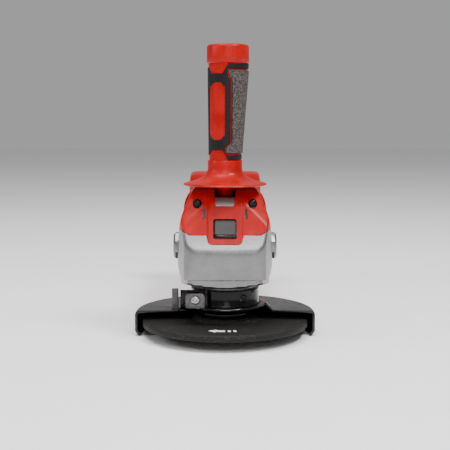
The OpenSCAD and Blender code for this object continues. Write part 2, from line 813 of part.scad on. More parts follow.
module rear_bearing() {
  color("lightgray") on_shaft(rear_bearing_y)
    ball_bearing(rear_bearing_d, rear_bearing_od, rear_bearing_w, 7);
}

module bearing_cup() {
  color("black") on_shaft(rear_bearing_y) ring(rear_bearing_od / 2 + 1.5, rear_bearing_od / 2, rear_bearing_w);
}

module armature_core() {
  color("slategray") on_shaft(core_y) difference() {
    cylinder(r = armature_d / 2, h = core_len);
    translate([0, 0, -past]) cylinder(r = shaft_d / 2, h = core_len + 2 * past);
    for (k = [0 : armature_slots - 1]) rotate(360 * k / armature_slots)
      translate([armature_d / 2 - 5, -0.9, -past]) cube([6, 1.8, core_len + 2 * past]);
  }
}

module armature_windings() {
  r = armature_d / 2 - 2;
  color("chocolate") for (y = [core_y - winding_len, core_end]) on_shaft(y) rotate_extrude() polygon([
    [shaft_d / 2, 0], [r - 3, 0], [r, 2.5], [r, winding_len - 2.5], [r - 3, winding_len], [shaft_d / 2, winding_len]
  ]);
}

module commutator() {
  r = commutator_d / 2;
  color("peru") on_shaft(commutator_y) difference() {
    union() {
      cylinder(r = r, h = commutator_len);
      cylinder(r = r + 2, h = 2);
    }
    translate([0, 0, -past]) cylinder(r = shaft_d / 2, h = commutator_len + 2 * past);
    for (k = [0 : commutator_bars - 1]) rotate(360 * (k + 0.5) / commutator_bars)
      translate([r - 0.8, -0.25, -past]) cube([4, 0.5, commutator_len + 2 * past]);
  }
}

module fan() {
  color("ivory") on_shaft(fan_y) difference() {
    union() {
      cylinder(r = fan_hub_r, h = fan_w);
      translate([0, 0, fan_w - 2]) cylinder(r = fan_d / 2, h = 2);
      for (k = [0 : fan_blades - 1]) rotate(360 * k / fan_blades) translate([7, -0.8, 1]) cube([fan_d / 2 - 8.5, 1.6, fan_w - 1]);
    }
    translate([0, 0, -past]) cylinder(r = shaft_d / 2, h = fan_w + 2 * past);
  }
}

module air_baffle() {
  color("dimgray") on_shaft(baffle_y - 1.5) ring(bore_r - 0.1, 22.5, 1.8);
}

module stator_core() {
  inner = armature_d / 2 + air_gap;
  color("slategray") on_shaft(core_y) linear_extrude(core_len) difference() {
    circle(r = stator_d / 2);
    circle(r = inner);
    for (s = [0, 180], a = [24, 136])
      sector(inner + 1.6, stator_d / 2 - 2.8, s + a, s + a + 20);
  }
}

module field_coils() {
  r0 = armature_d / 2 + air_gap + 2;
  r1 = stator_d / 2 - 3.2;
  color("sienna") for (s = [0, 180]) {
    for (a = [25, 137]) on_shaft(core_y - 4) rotate(s) linear_extrude(core_len + 8)
      sector(r0, r1, a, a + 18);
    for (y = [core_y - 4, core_end + 0.3]) on_shaft(y) rotate(s) linear_extrude(3.7)
      sector(r0, r1, 25, 155);
  }
}

module brush_holders() {
  color("goldenrod") for (s = [0, 180]) translate([0, spindle_y + brush_y, motor_z]) rotate([0, s, 0])
    difference() {
      translate([commutator_d / 2 + 1.2, -4.4, -3.4]) cube([motor_w / 2 - commutator_d / 2 - 5.2, 8.8, 6.8]);
      translate([0, -3.3, -2.4]) cube([60, 6.6, 4.8]);
    }
}

module carbon_brushes() {
  color("black") for (s = [0, 180]) translate([0, spindle_y + brush_y, motor_z]) rotate([0, s, 0])
    translate([commutator_d / 2 + 0.1, -brush_size.y / 2, -brush_size.z / 2]) cube(brush_size);
}

module brush_springs() {
  color("gainsboro") for (s = [0, 180]) translate([0, spindle_y + brush_y, motor_z])
    rotate([0, s + 90, 0]) translate([0, 0, commutator_d / 2 + 10.15])
      coil_spring(1.6, 0.25, 5, motor_w / 2 - commutator_d / 2 - 14.4);
}

module brush_caps() {
  color("black") for (s = [0, 180]) translate([0, spindle_y + brush_y, motor_z])
    rotate([0, s + 90, 0]) translate([0, 0, motor_w / 2 - 4]) difference() {
      cylinder(r = brush_cap_r, h = brush_cap_h);
      translate([-4, -0.6, 3.6]) cube([8, 1.2, 2]);
    }
}

// ---------------------------------------------------------------- body

module motor_housing() {
  color("crimson") difference() {
    union() {
      on_shaft(head_rear) linear_extrude(flange_end - head_rear) round_square(flange_w, flange_w, flange_corner);
      on_shaft(flange_end) linear_extrude(housing_end - flange_end) round_square(motor_w, motor_w, motor_corner);
      on_shaft(housing_end) cylinder(r = grip_w / 2 - shell_t - 2.4, h = spigot_end - housing_end);
    }
    on_shaft(head_rear - past) cylinder(r = bore_r, h = rear_bearing_y - 4 - head_rear + past);
    on_shaft(head_rear) cylinder(r = 6, h = 200);
    on_shaft(rear_bearing_y) cylinder(r = rear_bearing_od / 2 + 1.5, h = 40);
    for (k = [0 : 7]) on_shaft(rear_bearing_y - 10) rotate(45 * k + 22.5)
      translate([16, 0, 0]) cylinder(r = 2.6, h = 40);
    for (s = [-1, 1]) {
      translate([s * housing_screw_x, spindle_y, motor_z - housing_screw_low]) rotate([-90, 0, 0]) {
        cylinder(r = housing_screw_r + run, h = flange_end);
        translate([0, 0, lower_seat_y]) cylinder(r = screw_groove_r, h = housing_end);
      }
      translate([s * upper_screw_x, spindle_y, motor_z + upper_screw_up]) rotate([-90, 0, 0])
        cylinder(r = housing_screw_r + run, h = flange_end - 3);
      translate([s * (motor_w / 2 - 4), spindle_y + brush_y, motor_z]) rotate([0, 90 * s, 0])
        cylinder(r = brush_cap_r + run, h = 20);
      translate([s * 25, spindle_y + brush_y, motor_z]) cube([20, 9, 7], center = true);
      // exhaust slots beside the fan
      for (k = [-1 : 1]) translate([s * 30, spindle_y + fan_y + 6, motor_z + 8 * k])
        cube([20, 9, 3], center = true);
    }
  }
}

module housing_screws() {
  color("dimgray") for (s = [-1, 1]) {
    translate([s * housing_screw_x, spindle_y + lower_seat_y, motor_z - housing_screw_low])
      rotate([-90, 0, 0]) pan_screw(3.6, 2.6, housing_screw_r, 26);
    translate([s * upper_screw_x, spindle_y + upper_seat_y, motor_z + upper_screw_up])
      rotate([90, 0, 0]) pan_screw(3.6, 2.6, housing_screw_r, 26);
  }
}

// Outer form of the rear body, or the form inside it at a given depth
module rear_form(inset) {
  translate([0, spindle_y, motor_z]) intersection() {
    translate([0, 0, -60]) linear_extrude(120) offset(delta = -inset) polygon([
      for (s = [1, -1]) each (s > 0 ?
        [[motor_w / 2, housing_end - inset], [grip_w / 2, grip_start], [grip_w / 2, grip_end],
         [tail_w / 2, tail_start], [tail_w / 2, tail_reach - 2], [tail_w / 2 - 2, tail_reach]] :
        [[2 - tail_w / 2, tail_reach], [-tail_w / 2, tail_reach - 2], [-tail_w / 2, tail_start],
         [-grip_w / 2, grip_end], [-grip_w / 2, grip_start], [-motor_w / 2, housing_end - inset]])
    ]);
    side_prism(-60, 60) offset(delta = -inset) polygon([
      [housing_end - inset, -motor_w / 2], [grip_start, -grip_h / 2], [grip_end, -grip_h / 2],
      [tail_start, -tail_h / 2], [tail_reach, -tail_h / 2], [tail_reach, tail_h / 2],
      [tail_start, tail_h / 2], [grip_end, grip_h / 2], [grip_start, grip_h / 2],
      [housing_end - inset, motor_w / 2]
    ]);
    union() {
      translate([0, tail_start - 12, 0]) rotate([90, 0, 0])
        linear_extrude(tail_start) round_square(tail_w, tail_h, 18 - inset);
      translate([0, tail_reach, 0]) rotate([90, 0, 0]) linear_extrude(tail_reach - tail_start + 12)
        offset(delta = -inset) round_square(tail_w, tail_h, 5);
    }
  }
}

shell_screw_at = [[grip_start + 8, 20], [grip_start + 8, -20], [tail_reach - 12, 26], [tail_reach - 12, -26]];

module shell_half(side) {
  difference() {
    intersection() {
      union() {
        difference() {
          rear_form(0);
          rear_form(shell_t);
        }
        intersection() {
          rear_form(0.5);
          for (p = shell_screw_at) translate([-60, spindle_y + p[0], motor_z + p[1]])
            rotate([0, 90, 0]) cylinder(r = 4, h = 120);
        }
      }
      translate([side > 0 ? 0 : -60, spindle_y + housing_end, 0]) cube([60, 300, 200]);
    }
    // opening at the front for the motor housing's spigot
    on_shaft(housing_end - past) cylinder(r = grip_w / 2 - shell_t - 2.2, h = 6);
    for (p = shell_screw_at) translate([-60, spindle_y + p[0], motor_z + p[1]]) rotate([0, 90, 0]) {
      cylinder(r = 1.5 + run, h = 84);
      if (side < 0) cylinder(r = 3.6, h = 60 - grip_w / 2 + shell_t + 3);
    }
    translate([0, spindle_y + tail_reach - 12, inlet_z]) rotate([-90, 0, 0])
      cylinder(r = inlet_d / 2 + 3.5 + run, h = 30);
    // air slots in the tail
    for (k = [-2 : 2]) translate([side * 22, spindle_y + tail_reach, motor_z + 6 + 5 * k])
      cube([14, 12, 2.2], center = true);
    for (k = [0 : 3]) translate([side * tail_w / 2, spindle_y + tail_start + 1 + 4 * k, motor_z])
      cube([12, 1.8, 26], center = true);
    if (side > 0) translate([20, spindle_y + slider_y - switch_travel + 5, slider_z - stem_w / 2 - 0.4])
      cube([20, stem_len + switch_travel + 1, stem_w + 0.8]);
  }
}

module left_shell() {
  color("crimson") shell_half(1);
}

module right_shell() {
  color("crimson") shell_half(-1);
}

module shell_screws() {
  seat = grip_w / 2 - shell_t - 3;
  color("dimgray") for (p = shell_screw_at)
    translate([-seat, spindle_y + p[0], motor_z + p[1]]) rotate([0, -90, 0]) pan_screw(3, 2, 1.5, 36);
}

module switch_slider() {
  color("black") translate([0, spindle_y + slider_y, slider_z]) {
    difference() {
      translate([grip_w / 2 + 0.3, 0, -6.5]) cube([2.6, slider_len, 13]);
      for (k = [0 : 3]) translate([grip_w / 2 + 2.3, 4 + 4 * k, -7]) cube([2, 1.4, 14]);
    }
    translate([grip_w / 2 - 6, 5.5, -stem_w / 2]) cube([6.8, stem_len, stem_w]);
  }
}

module switch_link() {
  color("silver") translate([grip_w / 2 - 8.1, spindle_y + slider_y + 5.5, slider_z - 4])
    cube([2, stem_len + 6, 8]);
}

module switch_module() {
  color("dimgray") translate([-10, spindle_y + switch_y, motor_z - 14]) {
    cube([26, 30, 26]);
    for (k = [0 : 3]) translate([3 + 6 * k, 29, 4]) cube([1, 7, 4]);
  }
}

module cord_inlet() {
  color("black") translate([0, spindle_y + tail_reach - 9, inlet_z]) rotate([-90, 0, 0]) {
    ring(inlet_d / 2 + 3.5, inlet_d / 2, 9 + inlet_out - 0.01);
    translate([0, 0, 9.05]) ring(inlet_d / 2 + 5, inlet_d / 2, inlet_out - 0.05);
  }
}

// ---------------------------------------------------------------- side handle

module handle_core() {
  neck = handle_neck_d / 2;
  rim = handle_flange_d / 2;
  cap = handle_cap_d / 2;
  color("crimson") at_spindle() difference() {
    union() {
      rotate_extrude() polygon([
        [0, top_face_z + 0.05], [stem_r, top_face_z + 0.05], [stem_r, flange_rest_z + 0.6],
        [rim - 6, flange_rest_z], [rim - 0.8, flange_rest_z], [rim, flange_rest_z + 0.9],
        [rim - 0.7, flange_rest_z + 2], [rim - 9, flange_rest_z + handle_flange_t],
        [neck + 6, flange_rest_z + 7], [neck + 1.6, flange_rest_z + 10.5],
        [neck, flange_rest_z + 14], [neck, sleeve_z], [core_rod_r, sleeve_z], [0, sleeve_z]
      ]);
      translate([0, 0, sleeve_z - past]) cylinder(r = core_rod_r, h = handle_grip_len + 2 * past);
      translate([handle_lean * 0.9, 0, cap_z]) cylinder(r = cap - 0.3, h = handle_cap_len - 3);
      translate([handle_lean * 0.9, 0, cap_z + handle_cap_len - 3]) cylinder(r1 = cap - 0.3, r2 = cap - 2.5, h = 3);
    }
    translate([0, 0, top_face_z - past]) cylinder(r = handle_stud_d / 2, h = 22 + past);
  }
}

module handle_sleeve() {
  color("darkslategray") at_spindle() difference() {
    hull() {
      translate([0, 0, sleeve_z]) cylinder(r = handle_neck_d / 2, h = 0.1, $fn = 48);
      translate([handle_lean, 0, cap_z - 0.1]) cylinder(r = handle_cap_d / 2, h = 0.1, $fn = 48);
    }
    translate([0, 0, sleeve_z - past]) cylinder(r = core_rod_r, h = handle_grip_len + 2 * past);
  }
}

module handle_stud() {
  r = handle_stud_d / 2;
  color("silver") at_spindle(top_face_z) {
    translate([0, 0, -top_socket_len + 0.6]) cylinder(r1 = r - 0.8, r2 = r, h = 0.8);
    translate([0, 0, -top_socket_len + 1.4]) cylinder(r = r, h = top_socket_len - 1.4 + 22);
  }
}

gear_housing();
bearing_plate();
plate_screws();
head_cover();
cover_screws();
lock_button();
lock_pin();
lock_spring();
spindle();
crown_gear();
spindle_bearing();
bearing_retainer();
retainer_screws();
spindle_seal();
top_bush();
inner_flange();
grinding_disc();
clamp_nut();
guard_shell();
guard_band();
band_screw();
band_nut();
armature_shaft();
pinion();
pinion_nut();
front_bearing();
front_retainer();
rear_bearing();
bearing_cup();
armature_core();
armature_windings();
commutator();
fan();
air_baffle();
stator_core();
field_coils();
brush_holders();
carbon_brushes();
brush_springs();
brush_caps();
motor_housing();
housing_screws();
left_shell();
right_shell();
shell_screws();
switch_slider();
switch_link();
switch_module();
cord_inlet();
handle_core();
handle_sleeve();
handle_stud();
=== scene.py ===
"""Angle grinder: the visible pieces and their finishes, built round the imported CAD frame.

Lengths inside the classes are in millimetres, in the frame's own axes: +Z up along the disc
spindle, the nose towards -Y and the motor shaft along Y. Meshes are written in metres.
"""

from __future__ import annotations

import json
import logging
import math
from dataclasses import dataclass
from enum import Enum
from typing import Callable, Iterable, Sequence

import bmesh
import bpy
import numpy as np
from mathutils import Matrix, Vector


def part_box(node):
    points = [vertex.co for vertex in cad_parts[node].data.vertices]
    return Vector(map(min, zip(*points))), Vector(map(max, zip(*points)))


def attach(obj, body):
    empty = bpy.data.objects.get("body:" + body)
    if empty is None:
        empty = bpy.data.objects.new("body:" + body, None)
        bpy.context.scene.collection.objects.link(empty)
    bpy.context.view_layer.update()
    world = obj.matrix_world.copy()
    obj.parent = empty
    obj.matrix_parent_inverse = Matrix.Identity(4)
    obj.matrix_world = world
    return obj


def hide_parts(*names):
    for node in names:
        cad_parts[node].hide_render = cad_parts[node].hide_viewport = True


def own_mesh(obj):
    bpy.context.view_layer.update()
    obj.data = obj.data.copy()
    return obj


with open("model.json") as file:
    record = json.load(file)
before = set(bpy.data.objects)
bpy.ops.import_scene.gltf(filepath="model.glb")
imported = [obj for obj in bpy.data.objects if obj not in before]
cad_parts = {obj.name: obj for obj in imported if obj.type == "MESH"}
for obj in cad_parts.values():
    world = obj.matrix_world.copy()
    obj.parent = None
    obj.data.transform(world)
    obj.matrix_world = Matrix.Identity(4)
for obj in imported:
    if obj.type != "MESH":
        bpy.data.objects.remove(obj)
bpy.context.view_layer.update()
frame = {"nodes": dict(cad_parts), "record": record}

LOG = logging.getLogger("grinder")
MM = 0.001
TAU = 2 * math.pi
Array = np.ndarray
Colour = tuple[float, float, float]
Points = Sequence[tuple[float, float]]
SIDES = (-1, 1)
# Edges that bend more than CREASE degrees are bevelled, and more than SHARP stay sharp in shading
CREASE = 32.0
SHARP = 48.0


class Body(str, Enum):
    """The rigid bodies that pieces ride on."""

    TOOL = "tool"
    SPINDLE = "spindle_set"
    LOCK = "lock"
    GUARD = "guard"
    HANDLE = "side_handle"


class Cut(str, Enum):
    """What a cutter does to the piece that it meets."""

    AWAY = "DIFFERENCE"
    KEEP = "INTERSECT"
    JOIN = "UNION"


def smoothstep(low: float, high: float, value: Array) -> Array:
    """Rises from 0 at low to 1 at high, level at both ends: 3t^2 - 2t^3."""
    t = np.clip((value - low) / (high - low), 0.0, 1.0)
    return t * t * (3 - 2 * t)


# ------------------------------------------------------------------ meshes


@dataclass
class Shape:
    """A mesh in the making: its corners in millimetres and its faces as index rows."""

    points: Array
    faces: list[list[int]]

    def __add__(self, other: Shape) -> Shape:
        """Both shapes in one mesh.

        Args:
            other: The shape to join on.

        Returns:
            A shape with the faces of both.
        """
        shift = len(self.points)
        more = [[i + shift for i in face] for face in other.faces]
        return Shape(np.vstack([self.points, other.points]), self.faces + more)

    def moved(self, x: float = 0.0, y: float = 0.0, z: float = 0.0) -> Shape:
        """The shape carried along by (x, y, z)."""
        return Shape(self.points + np.array([x, y, z]), self.faces)

    def turned(self, rows: Sequence[Sequence[float]]) -> Shape:
        """The shape with its axes mapped by a rotation matrix."""
        return Shape(self.points @ np.array(rows, float).T, self.faces)

    def mesh(self, name: str) -> bpy.types.Mesh:
        """Writes the shape to a Blender mesh in metres.

        Args:
            name: The mesh's name.

        Returns:
            The new mesh.
        """
        data = bpy.data.meshes.new(name)
        data.from_pydata((self.points * MM).tolist(), [], self.faces)
        data.update()
        return data


# Axis maps: a shape drawn with its axis along Z is laid along another axis
ALONG_Y = ((1, 0, 0), (0, 0, 1), (0, -1, 0))
ALONG_X = ((0, 0, 1), (1, 0, 0), (0, 1, 0))
TO_THE_FRONT = ((1, 0, 0), (0, 0, -1), (0, 1, 0))
HALF_TURN = ((-1, 0, 0), (0, -1, 0), (0, 0, 1))


def grid(points: Array, wrap: bool = True, caps: bool = True) -> Shape:
    """Turns rows of points into a skin of quads.

    Row i, column j is joined to its neighbours in i and j. With wrap the last column meets the
    first, and with caps the first and last rows are closed by one face each.

    Args:
        points: An array of rows, columns and coordinates.
        wrap: Whether the columns close on themselves.
        caps: Whether the end rows are filled.

    Returns:
        The shape, its faces outwards where the columns run anticlockwise seen from the last row.
    """
    rows, columns = points.shape[:2]
    i = np.arange(rows - 1)[:, None]
    j = np.arange(columns if wrap else columns - 1)[None, :]
    k = (j + 1) % columns
    quads = np.stack(
        [i * columns + j, i * columns + k, (i + 1) * columns + k, (i + 1) * columns + j], axis=-1
    )
    faces = quads.reshape(-1, 4).tolist()
    if caps:
        faces.append(list(range(columns - 1, -1, -1)))
        faces.append(list(range((rows - 1) * columns, rows * columns)))
    return Shape(points.reshape(-1, 3), faces)


def revolve(profile: Points, steps: int = 96) -> Shape:
    """Turns a closed or open profile of (radius, height) round Z.

    Each point (r, z) becomes the circle r cos a, r sin a, z. A profile that starts and ends on the
    axis gives a closed skin with a cap at each end.

    Args:
        profile: Points from the bottom to the top of the outside.
        steps: Columns round the axis.

    Returns:
        The turned shape.
    """
    r, z = np.array(profile, float).T
    a = np.arange(steps) * TAU / steps
    points = np.stack(
        [r[:, None] * np.cos(a), r[:, None] * np.sin(a), np.repeat(z[:, None], steps, 1)], axis=-1
    )
    return grid(points)


def ring(profile: Points, steps: int = 128) -> Shape:
    """Turns a closed profile of (radius, height), anticlockwise in the half plane, into a ring.

    Args:
        profile: The section as (radius, height), its last point joined to its first.
        steps: Points round the ring.

    Returns:
        The ring, centred on the Z axis.
    """
    r, z = np.array(list(profile) + [profile[0]], float).T
    a = np.arange(steps) * TAU / steps
    points = np.stack(
        [r[:, None] * np.cos(a), r[:, None] * np.sin(a), np.repeat(z[:, None], steps, 1)], axis=-1
    )
    shape = grid(points, caps=False)
    last = len(profile) * steps
    faces = [[i - last if i >= last else i for i in face] for face in shape.faces]
    return Shape(shape.points[:last], faces)


def sector(profile: Points, start: float, sweep: float, steps: int = 96) -> Shape:
    """Turns a closed profile of (radius, height) through part of a circle and fills both ends.

    Args:
        profile: Points of the outline, anticlockwise in the half plane.
        start: The first angle, in degrees from +X.
        sweep: The angle covered, in degrees.
        steps: Rows along the sweep.

    Returns:
        The swept shape.
    """
    r, z = np.array(profile, float).T
    a = np.radians(start + sweep * np.linspace(0, 1, steps))[:, None]
    points = np.stack([r * np.cos(a), r * np.sin(a), np.repeat(z[None, :], steps, 0)], axis=-1)
    return grid(points)


def prism(outline: Points, low: float, high: float) -> Shape:
    """Carries an anticlockwise outline in X and Y from low to high along Z.

    Args:
        outline: The outline as (x, y).
        low: The lower end's height.
        high: The upper end's height.

    Returns:
        The closed prism.
    """
    flat = np.array(outline, float)
    points = np.stack(
        [np.column_stack([flat, np.full(len(flat), z)]) for z in (low, high)]
    )
    return grid(points)


def front_prism(outline: Points, low: float, high: float) -> Shape:
    """Carries an anticlockwise outline, X across and Z up as seen from the front, back along Y."""
    return prism([(x, -z) for x, z in reversed(outline)], low, high).turned(ALONG_Y)


def block(low: Sequence[float], high: Sequence[float]) -> Shape:
    """A box between two corners."""
    (x0, y0, z0), (x1, y1, z1) = low, high
    return prism([(x0, y0), (x1, y0), (x1, y1), (x0, y1)], z0, z1)


def rod(radius: float, low: float, high: float, steps: int = 48) -> Shape:
    """A plain round bar along Z."""
    a = np.arange(steps) * TAU / steps
    return prism(np.column_stack([radius * np.cos(a), radius * np.sin(a)]).tolist(), low, high)


def rod_back(radius: float, low: float, high: float, x: float = 0.0, z: float = 0.0) -> Shape:
    """A plain round bar along Y, from low to high, at a place across and up."""
    return rod(radius, low, high).turned(ALONG_Y).moved(x, 0, z)


def rod_across(radius: float, low: float, high: float, y: float, z: float) -> Shape:
    """A plain round bar along X, from low to high, at a place along and up."""
    return rod(radius, low, high).turned(ALONG_X).moved(0, y, z)


def mirrored(right: Points) -> list[tuple[float, float]]:
    """The mirror image of an outline's right half, in reverse order so that the two join up."""
    return [(-x, h) for x, h in reversed(right)]


def faces_of_outline(outline: Points) -> Array:
    """Each side of an anticlockwise outline as a half plane: rows of outward normal and distance.

    Args:
        outline: The outline as points of a plane.

    Returns:
        One row of three for each side.
    """
    p = np.array(outline, float)
    d = np.roll(p, -1, 0) - p
    n = np.column_stack([d[:, 1], -d[:, 0]]) / np.linalg.norm(d, axis=1)[:, None]
    return np.column_stack([n, (n * p).sum(1)])


def soft_solid(planes: Array, centre: Sequence[float], sharp: float, rows: int, columns: int) -> Shape:
    """A convex block whose edges melt into each other.

    Along a direction d from the centre, each plane n.x = c is met at distance c / (n.d). The
    surface lies at one over the p-norm of all (n.d) / c, which is the nearest plane with its
    meeting lines rounded off, always inside the block. Directions are spaced over a sphere.

    Args:
        planes: Rows of outward normal (three values) and distance from the origin.
        centre: A point well inside the block.
        sharp: The power p of the norm, larger for tighter edges.
        rows: Rows from pole to pole.
        columns: Columns round.

    Returns:
        The closed shape.
    """
    n = planes[:, :3]
    c = planes[:, 3] - n @ np.array(centre, float)
    pole = math.pi / 2 - 0.012
    tilt = np.linspace(-pole, pole, rows)[:, None]
    turn = (np.arange(columns) * TAU / columns)[None, :]
    d = np.stack(
        [np.cos(tilt) * np.cos(turn), np.cos(tilt) * np.sin(turn), np.sin(tilt) + 0 * turn], axis=-1
    )
    near = np.clip(d @ n.T, 0.0, None) / c
    top = near.max(-1, keepdims=True)
    reach = 1.0 / (top[..., 0] * ((near / top) ** sharp).sum(-1) ** (1.0 / sharp))
    return grid(d * reach[..., None] + np.array(centre, float))


def superellipse(w: Array, h: Array, corner: Array, steps: int) -> Array:
    """Rounded-rectangle sections: |x/w|^p + |y/h|^p = 1, with one power p for each row.

    Args:
        w: Each row's half width.
        h: Each row's half height.
        corner: Each row's power p: the larger, the squarer.
        steps: Points round each row.

    Returns:
        An array of rows, points and the two coordinates.
    """
    a = np.arange(steps) * TAU / steps
    c, s = np.cos(a)[None, :], np.sin(a)[None, :]
    p = corner[:, None]
    reach = (np.abs(c) ** p + np.abs(s) ** p) ** (-1.0 / p)
    return np.stack([w[:, None] * c * reach, h[:, None] * s * reach], axis=-1)


def bake(obj: bpy.types.Object) -> None:
    """Applies an object's modifiers to its own mesh.

    Args:
        obj: The object, whose old mesh is dropped.
    """
    graph = bpy.context.evaluated_depsgraph_get()
    old = obj.data
    obj.data = bpy.data.meshes.new_from_object(obj.evaluated_get(graph), depsgraph=graph)
    obj.modifiers.clear()
    bpy.data.meshes.remove(old)


def away(*shapes: Shape) -> list[tuple[Cut, Shape]]:
    """Shapes to cut away."""
    return [(Cut.AWAY, shape) for shape in shapes]


def joined(*shapes: Shape) -> list[tuple[Cut, Shape]]:
    """Shapes to join on."""
    return [(Cut.JOIN, shape) for shape in shapes]


def carve(obj: bpy.types.Object, cuts: Iterable[tuple[Cut, Shape]]) -> None:
    """Cuts, keeps or joins closed shapes in turn, and bakes the result.

    Args:
        obj: The piece to change.
        cuts: What to do and with which shape.
    """
    for how, shape in cuts:
        tool = bpy.data.objects.new("cutter", shape.mesh("cutter"))
        bpy.context.collection.objects.link(tool)
        cut = obj.modifiers.new("cut", "BOOLEAN")
        cut.operation, cut.solver, cut.object = how.value, "MANIFOLD", tool
        bake(obj)
        data = tool.data
        bpy.data.objects.remove(tool)
        bpy.data.meshes.remove(data)


def face_normals_meet(data: bpy.types.Mesh) -> tuple[Array, Array]:
    """The cosine between the two faces of each edge, and which edges have exactly two.

    Args:
        data: The mesh.

    Returns:
        Two arrays, each with one value for each edge.
    """
    loops = np.empty(len(data.loops), np.int64)
    data.loops.foreach_get("edge_index", loops)
    totals = np.empty(len(data.polygons), np.int64)
    data.polygons.foreach_get("loop_total", totals)
    normals = np.empty(len(data.polygons) * 3)
    data.polygons.foreach_get("normal", normals)
    normals = normals.reshape(-1, 3)
    owner = np.repeat(np.arange(len(totals)), totals)
    order = np.argsort(loops, kind="stable")
    edges, faces = loops[order], owner[order]
    counts = np.bincount(edges, minlength=len(data.edges))
    first = np.searchsorted(edges, np.arange(len(data.edges)))
    paired = counts == 2
    cosine = np.ones(len(data.edges))
    a, b = faces[first[paired]], faces[first[paired] + 1]
    cosine[paired] = (normals[a] * normals[b]).sum(1)
    return cosine, paired


def soften(obj: bpy.types.Object, width: float) -> None:
    """Rounds the hard edges of a piece with a small bevel and shades it smooth.

    Args:
        obj: The piece.
        width: The bevel's width in millimetres, or 0 for none.
    """
    if width > 0:
        bevel = obj.modifiers.new("soften", "BEVEL")
        bevel.width, bevel.segments = width * MM, 2
        bevel.limit_method, bevel.angle_limit = "ANGLE", math.radians(CREASE)
        bevel.use_clamp_overlap = True
        bevel.miter_outer = "MITER_ARC"
        bake(obj)
    data = obj.data
    data.shade_smooth()
    cosine, paired = face_normals_meet(data)
    sharp = data.attributes.get("sharp_edge") or data.attributes.new("sharp_edge", "BOOLEAN", "EDGE")
    sharp.data.foreach_set("value", (paired & (cosine < math.cos(math.radians(SHARP)))).tolist())


# ------------------------------------------------------------------ shader maths


class Field:
    """A value that varies over a surface: one output socket, with sums written as Python."""

    def __init__(self, graph: Graph, socket: bpy.types.NodeSocket) -> None:
        """Wraps a socket of a graph."""
        self.graph = graph
        self.socket = socket

    def _math(self, operation: str, *values: object) -> Field:
        """Adds a Math node on the given values."""
        node = self.graph.node(
            "ShaderNodeMath", {"operation": operation}, {i: v for i, v in enumerate(values)}
        )
        return Field(self.graph, node.outputs[0])

    def __add__(self, other: object) -> Field:
        """self + other."""
        return self._math("ADD", self, other)

    __radd__ = __add__

    def __sub__(self, other: object) -> Field:
        """self - other."""
        return self._math("SUBTRACT", self, other)

    def __rsub__(self, other: object) -> Field:
        """other - self."""
        return self._math("SUBTRACT", other, self)

    def __mul__(self, other: object) -> Field:
        """self * other."""
        return self._math("MULTIPLY", self, other)

    __rmul__ = __mul__

    def step(self, low: float, high: float) -> Field:
        """Rises from 0 at low to 1 at high, or falls where low is above high."""
        node = self.graph.node(
            "ShaderNodeMapRange",
            {"interpolation_type": "SMOOTHSTEP", "clamp": True},
            {"Value": self, "From Min": low, "From Max": high, "To Min": 0.0, "To Max": 1.0},
        )
        return Field(self.graph, node.outputs["Result"])


